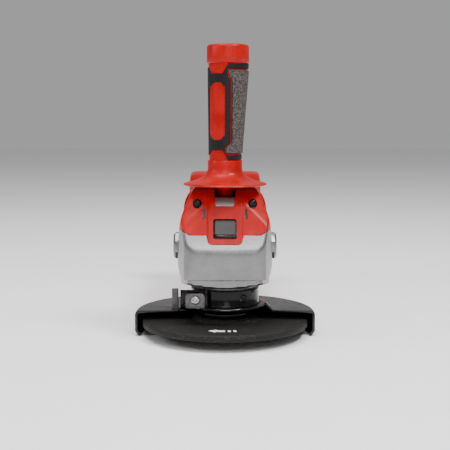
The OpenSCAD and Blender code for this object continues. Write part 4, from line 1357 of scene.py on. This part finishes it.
@dataclass
class DiscGuard:
    """The pressed guard, its upright tab, and the collar band with its ears and screw."""

    datum: Datum
    radius: float = 68.36
    sheet: float = 1.8
    bend: float = 3.4
    top: float = 19.5
    dish: float = 25.2
    collar_r: float = 23.9
    sweep: float = 190.0
    lip: float = 4.0
    lip_fold: float = 2.9
    tab_x: float = -40.2
    band_t: float = 1.9
    band_h: float = 12.5
    screw_x: float = -21.8
    screw_hole_r: float = 2.05

    def profile(self) -> list[tuple[float, float]]:
        """The sheet's section, its outer bend an arc, anticlockwise in the half plane.

        Returns:
            The section as (radius, height).
        """
        r, t, top, rim = self.radius, self.sheet, self.top, self.collar_r + 0.2
        turns = np.radians(np.linspace(0, 90, 9))

        def arc(inner_r: float, angles: Array) -> list[tuple[float, float]]:
            """The bend at one radius, round the centre that both faces of the sheet share."""
            return [
                (r - self.bend + inner_r * math.cos(k), top - self.bend + inner_r * math.sin(k))
                for k in angles
            ]

        rise = (self.dish - top) * smoothstep(0, 1, np.linspace(0, 1, 9))
        up = list(zip(np.linspace(37.6, 30.4, 9), top + rise))
        down = [(x - 0.5, z - t) for x, z in reversed(up)]
        return (
            [(r - self.lip_fold, 0.0), (r, self.lip)] + arc(self.bend, turns) + up
            + [(rim, self.dish), (rim, self.dish - t)] + down + arc(self.bend - t, turns[::-1])
            + [(r - t, self.lip + 0.7), (r - self.lip_fold - t, 0.8)]
        )

    def build(self) -> None:
        """Makes the pressed shell with its dish and tab, and the band round the collar."""
        y, top, dish = self.datum.spindle_y, self.top, self.dish
        shell = sector(self.profile(), 90 - self.sweep / 2, self.sweep, 160).moved(y=y)
        rim, under = self.collar_r + 0.2, dish - self.sheet
        collar = ring([(rim, under), (30.0, under), (30.6, dish - 1.0), (30.0, dish), (rim, dish)])
        tab = block((self.tab_x, y - 2.5, top - 1), (self.tab_x + 5, y, top + 16.4))
        tab_foot = block((self.tab_x, y - 2.5, top - 1), (-30, y + 9, top + 0.2))
        add_piece(
            "guard_pressed", shell, ENAMEL, Body.GUARD, ["guard_shell"],
            joined(collar.moved(y=y), tab_foot), bevel=0.35,
        )
        # The tab is black enamelled steel like the guard; its lighter grey finish is painted light
        add_piece("guard_tab", tab, ENAMEL_PAINTED_LIT, Body.GUARD, bevel=0.4)
        self.build_band()
        self.build_clamp()

    def build_band(self) -> None:
        """The collar band: a rolled strip with a folded lower rim, a hook and two ears."""
        y, z = self.datum.spindle_y, self.datum.band_z
        r, t, h = self.collar_r + 0.1, self.band_t, self.band_h
        middle = z + h / 2
        strip = ring(
            [(r, 0.0), (r + t, 0.0), (r + t + 0.02, 0.9), (r + t - 0.35, 1.5), (r + t - 0.35, h - 1.2),
             (r + t - 0.1, h - 0.5), (r + t - 0.5, h), (r, h)]
        ).moved(y=y, z=z)
        ears = [
            block((-15, y - 26, z), (-13, y - 19.6, z + h)),
            block((-19, y - 25.6, z), (-13, y - 24, z + h)),
            block((-33, y - 20.5, z), (-17.6, y - 18, z + h)),
        ]
        collar_bore = rod(r, z - 2, z + h + 2, 128).moved(y=y)
        split = block((-17.4, y - 24, z - 1), (-15.1, y - 16, z + h + 1))
        hook_window = block((11.2, y - 30, middle - 1.8), (17.6, y - 20.4, middle + 2.9))
        add_piece(
            "band_rolled", strip, COLLAR, Body.GUARD, ["guard_band"],
            joined(*ears) + away(collar_bore, split, self.screw_hole(), hook_window), bevel=0.3,
        )
        hook = sector([(1.2, -0.4), (2.2, -0.4), (2.2, 0.9), (1.2, 0.9)], -60, 290, 32)
        tongue = hook.turned(ALONG_Y).moved(14.4, y - 22.0, middle + 0.6)
        add_piece("band_hook", tongue, COLLAR, Body.GUARD, bevel=0.15)

    def build_clamp(self) -> None:
        """The clamp's front ear, its corners cut off, and the screw through it."""
        y, z = self.datum.spindle_y, self.datum.band_z
        ear = front_prism(
            [(-29, z + 0.8), (-28.2, z), (-15.6, z), (-15, z + 0.6), (-15, z + 9.6), (-16.4, z + 11),
             (-27.6, z + 11), (-29, z + 9.6)],
            y - 26.2, y - 24.2,
        )
        # The front ear is black enamelled steel like the band; its lighter grey finish is painted light
        add_piece(
            "band_ear", ear, ENAMEL_PAINTED_LIT, Body.GUARD, cuts=away(self.screw_hole()), bevel=0.35
        )
        screw = PanScrew(head_r=3.35, head_h=2.4, shank_r=1.95, shank_len=8.5)
        seat = (self.screw_x, y - 26, z + self.band_h / 2)
        add_piece(
            "band_screw_head", screw.shape(seat), ZINC, Body.GUARD, ["band_screw"],
            screw.cross(seat), bevel=0.12,
        )

    def screw_hole(self) -> Shape:
        """The hole for the clamp screw, through both ears."""
        y = self.datum.spindle_y
        return rod_back(self.screw_hole_r, y - 30, y - 16, self.screw_x, self.datum.band_z + self.band_h / 2)


@dataclass
class CuttingSet:
    """The grinding disc and the flange above it."""

    datum: Datum
    disc_r: float = 62.5
    bore_r: float = 11.115
    thick: float = 5.0
    low: float = 7.5
    rise: float = 3.4
    hub_r: float = 24.0
    flange_bore_r: float = 7.05
    print_t: float = 0.1

    def build(self) -> None:
        """Makes the disc with a slightly worn rim, its printed mark and the inner flange."""
        self.build_disc()
        self.build_flange()
        self.build_mark()

    def build_disc(self) -> None:
        """The disc: flat outside, its hub raised by a smooth step, its rim worn at both edges."""
        z, r, t = self.low, self.disc_r, self.thick
        run = np.linspace(0, 1, 10)
        fall = self.rise * (1 - smoothstep(0, 1, run))
        lower = np.column_stack([self.hub_r - 1.5 + 5 * run, z + fall])
        upper = np.column_stack([self.hub_r - 2.5 + 5 * run, z + t + fall])[::-1]
        flat = np.linspace(32, r - 1.2, 12)
        flat_low = np.column_stack([flat, np.full(12, z)])
        flat_up = np.column_stack([flat[::-1], np.full(12, z + t)])
        rim = [(r - 0.4, z + 0.3), (r, z + 1.0), (r, z + t - 1.0), (r - 0.4, z + t - 0.3)]
        bore = np.array([[self.bore_r, z + self.rise], [self.bore_r, z + self.rise + t]])
        profile = np.vstack([bore[:1], lower, flat_low, rim, flat_up, upper, bore[1:]])
        disc = ring(profile.tolist(), 240).moved(y=self.datum.spindle_y)
        add_piece("disc_abrasive", disc, GRIT, Body.SPINDLE, ["grinding_disc"])

    def build_flange(self) -> None:
        """The inner flange, with the spigot that centres the disc."""
        place = {"y": self.datum.spindle_y, "z": self.low + self.rise + self.thick}
        bore = self.flange_bore_r
        flange = ring(
            [(bore, 0), (19.2, 0), (20, 0.8), (20, 3.0), (19.3, 4.0), (16.2, 4.4), (15.0, 5.2), (14.6, 6.1),
             (bore, 6.1)]
        )
        spigot = ring([(bore, -2.4), (11.0, -2.4), (11.0, 0.2), (bore, 0.2)], 96)
        add_piece(
            "flange_inner", flange.moved(**place), COLLAR, Body.SPINDLE, ["inner_flange"],
            joined(spigot.moved(**place)), bevel=0.2,
        )

    def build_mark(self) -> None:
        """A plain printed mark on the disc: a curved arrow and two bars, thin and flat."""
        low = self.low + self.thick + 0.02
        high = low + self.print_t
        inner_r, outer_r = 44.0, 48.5
        outline = [(inner_r, low), (outer_r, low), (outer_r, high), (inner_r, high)]
        tip, root = np.radians([255.0, 262.0])
        corners = [(46.2, tip), (42.0, root), (50.5, root)]
        head = prism([(r * math.cos(a), r * math.sin(a)) for r, a in corners], low, high)
        shaft, *bars = [
            sector(outline, start, sweep, 24) for start, sweep in ((262.0, 8.0), (272.5, 2.5), (277.5, 2.5))
        ]
        shape = sum(bars, shaft) + head
        mark = add_piece("disc_mark", shape.moved(y=self.datum.spindle_y), WHITE, Body.SPINDLE)
        face_outwards(mark)


@dataclass
class SideHandle:
    """The side handle: red core with flange, neck and cap, and its rubber sleeve."""

    datum: Datum
    rim_r: float = 31.35
    neck_r: float = 12.85
    cap_r: float = 15.75
    stem_r: float = 6.85
    inner_r: float = 8.2
    seat_z: float = 104.05
    rest_z: float = 113.8
    neck_len: float = 19.3
    sleeve_len: float = 71.2
    lean: float = 2.4
    skin: float = 1.1

    @property
    def sleeve_z(self) -> float:
        """Where the rubber starts."""
        return self.rest_z + self.neck_len

    @property
    def cap_z(self) -> float:
        """Where the rubber ends."""
        return self.sleeve_z + self.sleeve_len

    def centre_x(self, z: Array) -> Array:
        """The grip's centre line: straight up, then leaning to one side."""
        return self.lean * np.clip((z - self.sleeve_z) / self.sleeve_len, 0, 1)

    def radius(self, z: Array) -> Array:
        """The grip's radius: it swells gently from the neck to the cap."""
        t = np.clip((z - self.sleeve_z) / self.sleeve_len, 0, 1)
        return self.neck_r + (self.cap_r - self.neck_r) * (0.75 * t + 0.25 * smoothstep(0, 1, t))

    def patterns(self, u: Array, v: Array) -> tuple[Array, Array, Array]:
        """How far a point of the sleeve lies inside its three patterns, in millimetres.

        u is the sideways place seen from the front, measured from the grip's centre line, and v
        the height above the sleeve's lower end. Each pattern is the nearest of a few straight
        edges. The window's corners are cut off, and the panel's lower end flares.

        Args:
            u: Sideways place.
            v: Height.

        Returns:
            Depth inside the window, inside the end arches and inside the raised panel.
        """
        length = self.sleeve_len
        middle, half_w, low, high, corner = -6.2, 6.1, 15.0, 57.2, 3.6
        u = u + self.lean * v / length
        end = np.minimum(v, length - v)
        across, along = half_w - np.abs(u - middle), np.minimum(v - low, high - v)
        window = np.minimum(np.minimum(across, along), (across + along - corner) * math.sqrt(0.5))
        arch = np.minimum(7.6 - end + 0 * u, 0.85 * (8.8 - np.abs(u - middle) - 0.62 * end))
        flare = (2.4 + 2.2 * (v < length / 2)) * (1 - smoothstep(9.0, 14.0, end))
        panel = np.minimum(u - 4.9 + flare, np.minimum(v - 4.6, length - 4.8 - v))
        return window, arch, panel

    def build_sleeve(self) -> None:
        """The rubber sleeve on a grid of angle and height, cut through to the red core.

        The radius drops below the core's surface inside the windows and arches, stands out on
        the panel, and has a narrow groove along the panel's edge. A second, plain surface inside
        closes the tube.
        """
        rows, columns = 290, 330
        v = np.linspace(0, self.sleeve_len, rows)[:, None]
        a = (np.arange(columns) * TAU / columns)[None, :]
        z = self.sleeve_z + v
        base = self.radius(z) * np.ones_like(a)
        window, arch, panel = self.patterns(base * np.cos(a), v + 0 * a)
        opening = np.maximum(window, arch)
        groove = smoothstep(0.75, 0.2, np.abs(panel + 0.1)) * (opening < -0.4)
        rise = 0.45 * smoothstep(0.1, 1.0, panel)
        cut = 1.25 * self.skin * smoothstep(-0.25, 0.35, opening)
        ends = 0.35 * (1 - smoothstep(0.0, 0.8, np.minimum(v, self.sleeve_len - v)))
        r = base - 0.45 + rise - cut - 0.8 * self.skin * groove - ends
        outside = np.stack([self.centre_x(z) + r * np.cos(a), r * np.sin(a), z + 0 * a], axis=-1)
        inside = np.stack(
            np.broadcast_arrays(self.inner_r * np.cos(a), self.inner_r * np.sin(a), z[[-1, 0]]), axis=-1
        )
        shape = grid(np.concatenate([outside, inside]), caps=False)
        last = (rows + 1) * columns
        j = np.arange(columns)
        k = (j + 1) % columns
        shape.faces += np.stack([last + j, last + k, k, j], axis=-1).tolist()
        obj = add_piece(
            "sleeve_rubber", shape.moved(y=self.datum.spindle_y), RUBBER, Body.HANDLE,
            ["handle_sleeve"],
        )
        mask = np.concatenate([smoothstep(0.3, 0.8, panel).ravel(), np.zeros(2 * columns)])
        layer = obj.data.attributes.new("panel", "FLOAT", "POINT")
        layer.data.foreach_set("value", mask)

    def build_core(self) -> None:
        """The red core: stem, flange, bell, neck, a skin behind the rubber, and the cap."""
        y, flange_z, top = self.datum.spindle_y, self.rest_z, self.sleeve_z
        neck, rim, stem, seat = self.neck_r, self.rim_r, self.stem_r, self.seat_z
        steps = 144
        t = np.linspace(0, 1, 14)
        bell = np.column_stack([neck + (rim - 4 - neck) * (1 - t) ** 2.6, flange_z + 2.9 + 11.5 * t**1.15])
        foot = [
            (0, seat), (stem - 0.4, seat), (stem, seat + 0.4), (stem, flange_z - 1),
            (stem + 1.0, flange_z + 0.3), (rim - 9, flange_z + 0.25), (rim - 2.2, flange_z + 0.1),
            (rim - 0.6, flange_z + 0.35), (rim, flange_z + 1.1), (rim - 0.5, flange_z + 1.9),
            (rim - 2.0, flange_z + 2.35),
        ]
        shoulder = [(neck, top - 0.9), (neck - 0.35, top - 0.05), (8.0, top), (0, top + 0.4)]
        lower = revolve(foot + bell.tolist() + shoulder, steps)
        z = top + np.linspace(-0.6, self.sleeve_len + 0.6, 60)[:, None]
        a = (np.arange(steps) * TAU / steps)[None, :]
        r = self.radius(z) - self.skin
        barrel = grid(np.stack([self.centre_x(z) + r * np.cos(a), r * np.sin(a), z + 0 * a], axis=-1))
        c = self.cap_r - 0.1
        cap = revolve(
            [(0.01, -0.3), (8.0, 0.0), (c - 0.5, 0.0), (c, 0.5), (c + 0.05, 5.0), (c, 11.6), (c - 0.3, 12.8),
             (c - 1.0, 13.6), (c - 2.4, 14.0), (c - 6, 14.1), (0.01, 14.1)],
            steps,
        )
        add_piece(
            "core_red", lower.moved(y=y), RED, Body.HANDLE, ["handle_core"],
            joined(barrel.moved(y=y), cap.moved(0.9 * self.lean, y, self.cap_z)),
        )

    def build(self) -> None:
        """Makes the core and the sleeve."""
        self.build_core()
        self.build_sleeve()


@dataclass
class Barrel:
    """The motor housing and the two rear shells behind it. Places along Y start at the spindle."""

    datum: Datum
    flange_half: float = 33.0
    motor_half: float = 31.5
    head_rear: float = 38.0
    flange_rear: float = 52.0
    grip_half_w: float = 28.0
    grip_half_h: float = 30.0
    tail_half_w: float = 34.5
    tail_half_h: float = 33.5
    tail_len: float = 22.0
    wall: float = 2.5

    def section_rows(self, stations: Sequence[tuple[float, float, float, float]]) -> Array:
        """Superellipse sections between stations of (place along Y, half width, half height, power).

        Between two stations each value eases from one to the other.

        Args:
            stations: The stations in order.

        Returns:
            Rows, columns and coordinates.
        """
        steps, spacing = 220, 1.0
        s = np.array(stations, float)
        runs = [
            np.linspace(a, b, max(2, int(abs(b - a) / spacing) + 1))[:-1]
            for a, b in zip(s[:-1, 0], s[1:, 0])
        ]
        place = np.concatenate(runs + [s[-1:, 0]])
        index = np.clip(np.searchsorted(s[:, 0], place, side="right") - 1, 0, len(s) - 2)
        t = (place - s[index, 0]) / np.maximum(s[index + 1, 0] - s[index, 0], 1e-9)
        ease = smoothstep(0, 1, t)[:, None]
        values = s[index, 1:] * (1 - ease) + s[index + 1, 1:] * ease
        flat = superellipse(values[:, 0], values[:, 1], values[:, 2], steps)
        y = np.repeat((self.datum.spindle_y + place)[:, None], steps, 1)
        return np.stack([flat[..., 0], y, self.datum.motor_z + flat[..., 1]], axis=-1)

    def skin(self, stations: Sequence[tuple[float, float, float, float]]) -> Shape:
        """A closed skin through the stations, faces outwards."""
        return grid(self.section_rows(stations)[:, ::-1])

    def slots(self, pitch: float, low: Sequence[float], high: Sequence[float], axis: int) -> list[Shape]:
        """Five boxes in a row, the middle one between the two corners.

        Args:
            pitch: From one box to the next.
            low: The middle box's lower corner.
            high: Its upper corner.
            axis: The axis that the row runs along.

        Returns:
            The boxes.
        """
        step = np.eye(3)[axis] * pitch
        return [block(np.array(low) + k * step, np.array(high) + k * step) for k in range(-2, 3)]

    def build(self) -> None:
        """Makes the motor housing and the two shells."""
        shell_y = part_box("left_shell")[0][1] / MM - self.datum.spindle_y
        self.build_housing(shell_y)
        self.build_shells(shell_y)

    def build_housing(self, shell_y: float) -> None:
        """The motor housing: a square flange, a rounder barrel and a round nose for the shells.

        Args:
            shell_y: The shells' front face, behind the spindle line.
        """
        y, z = self.datum.spindle_y, self.datum.motor_z
        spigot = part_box("motor_housing")[1][1] / MM
        f, m = self.flange_half, self.motor_half
        body = self.skin(
            [(self.head_rear + 0.3, f - 0.4, f - 0.4, 4.2), (self.head_rear + 0.9, f, f, 4.2),
             (self.flange_rear, f, f, 4.2), (self.flange_rear + 8, m, m, 3.4), (shell_y - 1.2, m, m, 3.2),
             (shell_y - 0.4, m - 0.8, m - 0.8, 3.2)]
        )
        nose = rod_back(22.9, y + shell_y - 2, spigot, z=z)
        bore = rod_back(28.15, y + 30, y + shell_y - 4, z=z)
        shaft_bore = rod_back(6, y, y + 240, z=z)
        bearing_bore = rod_back(11, y + shell_y + 2, spigot + 5, z=z)
        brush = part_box("brush_caps")
        brush_y = (brush[0][1] + brush[1][1]) / 2 / MM
        brush_floor, far = 27.5, 60
        cuts = away(bore) + joined(nose) + away(shaft_bore, bearing_bore)
        for s, low, high in ((-1, -far, -brush_floor), (1, brush_floor, far)):
            brush_seat = rod_across(6.2, low, high, brush_y, z)
            vents = self.slots(7, (s * 34 - 10, y + 42.5, z - 1.6), (s * 34 + 10, y + 51.5, z + 1.6), 2)
            screw_groove = rod_back(3.9, y + 50, y + shell_y + 3, s * 27.5, z - 24)
            cuts += away(brush_seat, *vents, screw_groove)
        add_piece("housing_motor", body, RED, Body.TOOL, ["motor_housing"], cuts, bevel=0.35)

    def build_shells(self, shell_y: float) -> None:
        """The left and right shells of the rear grip, with air slots and screw seats.

        Args:
            shell_y: The shells' front face, behind the spindle line.
        """
        y, z, end = self.datum.spindle_y, self.datum.motor_z, self.datum.tail_y - self.datum.spindle_y
        m, w, tail = self.motor_half, self.wall, end - self.tail_len
        gw, gh, tw, th = self.grip_half_w, self.grip_half_h, self.tail_half_w, self.tail_half_h
        outer = [
            (shell_y, m - 0.7, m - 0.7, 3.2), (shell_y + 0.8, m, m, 3.2), (shell_y + 20, gw, gh, 3.4),
            (tail - 22, gw, gh, 3.4), (tail, tw, th, 9.0), (end - 1.6, tw, th, 14.0),
            (end - 0.01, tw - 1.4, th - 1.4, 14.0), (end, tw - 5, th - 5, 14.0),
        ]
        inner = [
            (shell_y - 5, m - w, m - w, 3.2), (shell_y + 20, gw - w, gh - w, 3.4),
            (tail - 22, gw - w, gh - w, 3.4), (tail, tw - w, th - w, 9.0), (end - w, tw - w, th - w, 12.0),
        ]
        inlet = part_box("cord_inlet")
        cord_hole = rod_back(7.8, y + end - 12, y + end + 9, z=(inlet[0][2] + inlet[1][2]) / 2 / MM)
        rear, back = y + end, 0.06
        for side, name, node in ((1, "shell_left_red", "left_shell"), (-1, "shell_right_red", "right_shell")):
            near, far = sorted((side * back, side * 80))
            half = block((near, y + shell_y - 5, -20), (far, rear + 5, 200))
            rear_slots = self.slots(
                5, (side * 22 - 7, rear - 8, z + 5), (side * 22 + 7, rear + 8, z + 7.2), 2
            )
            side_slots = self.slots(
                3.6, (side * tw - 6, rear - 12.8, z - 14), (side * tw + 6, rear - 11, z + 14), 1
            )
            own = self.switch_slot() if side > 0 else self.screw_seats(z)
            add_piece(
                name, self.skin(outer), RED, Body.TOOL, [node],
                away(self.skin(inner)) + [(Cut.KEEP, half)] + away(cord_hole, *rear_slots, *side_slots, *own),
                bevel=0.35,
            )

    def screw_seats(self, z: float) -> list[Shape]:
        """The seats of the four screws that hold the shells together, in the right shell.

        Args:
            z: The motor shaft's height.

        Returns:
            Four rods as cutters.
        """
        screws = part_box("shell_screws")
        head_r = 3.0
        front, rear = screws[0][1] / MM + head_r, screws[1][1] / MM - head_r
        places = ((20.0, front), (-20.0, front), (26.0, rear), (-26.0, rear))
        return [rod_across(3.7, -60, -24, at, z + rise) for rise, at in places]

    def switch_slot(self) -> list[Shape]:
        """The slot that the switch slides in, in the left shell.

        Returns:
            One block as a cutter.
        """
        low, high = (np.array(v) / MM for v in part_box("switch_slider"))
        middle = (low[2] + high[2]) / 2
        return [block((20, low[1] - 2, middle - 3.4), (60, low[1] + 15.2, middle + 3.4))]


def dress_frame(frame_nodes: dict[str, bpy.types.Object], record: dict) -> None:
    """Gives every CAD node the finish of its material slot.

    Args:
        frame_nodes: The CAD nodes by name.
        record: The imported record, for each node's slot.
    """
    slots = {row["node"]: row["material_slot"] for row in record["subparts"]}
    for name, obj in frame_nodes.items():
        finish = DARK if name == "plate_screws" else SLOT_FINISH[slots[name]]
        obj.data.materials.clear()
        obj.data.materials.append(finish.material())
        LOG.info("dressed %s in %s", name, finish.name)


@dataclass(frozen=True)
class Lamp:
    """A soft square lamp: its place and side in metres, its power in watts."""

    name: str
    place: tuple[float, float, float]
    power: float
    side: float

    def hang(self, target: Sequence[float]) -> None:
        """Adds the lamp to the scene, facing the target.

        Args:
            target: The point that it faces, in metres.
        """
        data = bpy.data.lights.new(self.name, "AREA")
        data.energy, data.size = self.power, self.side
        light = bpy.data.objects.new(self.name, data)
        light.location = self.place
        x, y, z = np.array(target) - np.array(self.place)
        light.rotation_euler = (math.atan2(math.hypot(x, y), -z), 0.0, math.atan2(y, x) - math.pi / 2)
        bpy.context.collection.objects.link(light)


# The brow lamp lights the slope above the nose, and the front lamp the room under the handle
LAMPS = (
    Lamp("key", (0.6, -0.45, 1.25), 17.0, 0.35),
    Lamp("fill", (-1.1, -0.3, 0.6), 3.5, 0.35),
    Lamp("top", (-0.2, -0.2, 1.4), 20.0, 0.8),
    Lamp("front", (0.1, -1.2, 0.3), 0.8, 0.3),
    Lamp("brow", (0.05, -1.0, 0.75), 6.0, 0.5),
)


@dataclass
class Studio:
    """Pale floor, soft lights and the camera."""

    datum: Datum
    camera_back: float = 755.0
    camera_up: float = 167.5
    pitch: float = 6.31
    lens: float = 80.6
    aim_up: float = 90.0
    world_power: float = 0.38

    def build(self) -> None:
        """Sets up the floor, the lights, the world and the camera."""
        self.build_camera()
        self.build_floor()
        self.build_lights()

    def build_camera(self) -> None:
        """A level-headed camera in front of the nose, pitched slightly down."""
        data = bpy.data.cameras.new("camera")
        data.lens, data.sensor_width = self.lens, 36.0
        data.clip_start, data.clip_end = 0.05, 20.0
        camera = bpy.data.objects.new("camera", data)
        camera.location = (0.0, (self.datum.spindle_y - self.camera_back) * MM, self.camera_up * MM)
        camera.rotation_euler = (math.radians(90 - self.pitch), 0.0, 0.0)
        bpy.context.collection.objects.link(camera)
        bpy.context.scene.camera = camera

    def build_floor(self) -> None:
        """A large pale floor with a faint unevenness."""
        floor = bpy.data.objects.new("floor", block((-4000, -4000, -4), (4000, 4000, -0.02)).mesh("floor"))
        bpy.context.collection.objects.link(floor)
        graph = Graph("pale floor")
        clouds = graph.noise(60.0, 3.0, 0.5)
        graph.feed(
            Base_Color=graph.blend(clouds, (0.86, 0.86, 0.86), (0.9, 0.9, 0.9)),
            Roughness=0.6 + 0.1 * clouds,
        )
        floor.data.materials.append(graph.material)

    def build_lights(self) -> None:
        """An even white world, and every lamp aimed at the gear head."""
        world = bpy.data.worlds.new("studio")
        world.use_nodes = True
        background = next(n for n in world.node_tree.nodes if n.type == "BACKGROUND")
        background.inputs["Color"].default_value = (1.0, 1.0, 1.0, 1.0)
        background.inputs["Strength"].default_value = self.world_power
        bpy.context.scene.world = world
        for lamp in LAMPS:
            lamp.hang((0.0, self.datum.spindle_y * MM, self.aim_up * MM))


def main() -> None:
    """Builds the studio and every sub-assembly, in order."""
    logging.basicConfig(level=logging.INFO, format="%(name)s: %(message)s")
    datum = Datum.read()
    Studio(datum).build()
    dress_frame(frame["nodes"], frame["record"])
    builders: list[Callable[[], None]] = [
        GearHead(datum).build,
        DiscGuard(datum).build,
        CuttingSet(datum).build,
        SideHandle(datum).build,
        Barrel(datum).build,
    ]
    for build in builders:
        build()


if __name__ == "__main__":
    main()
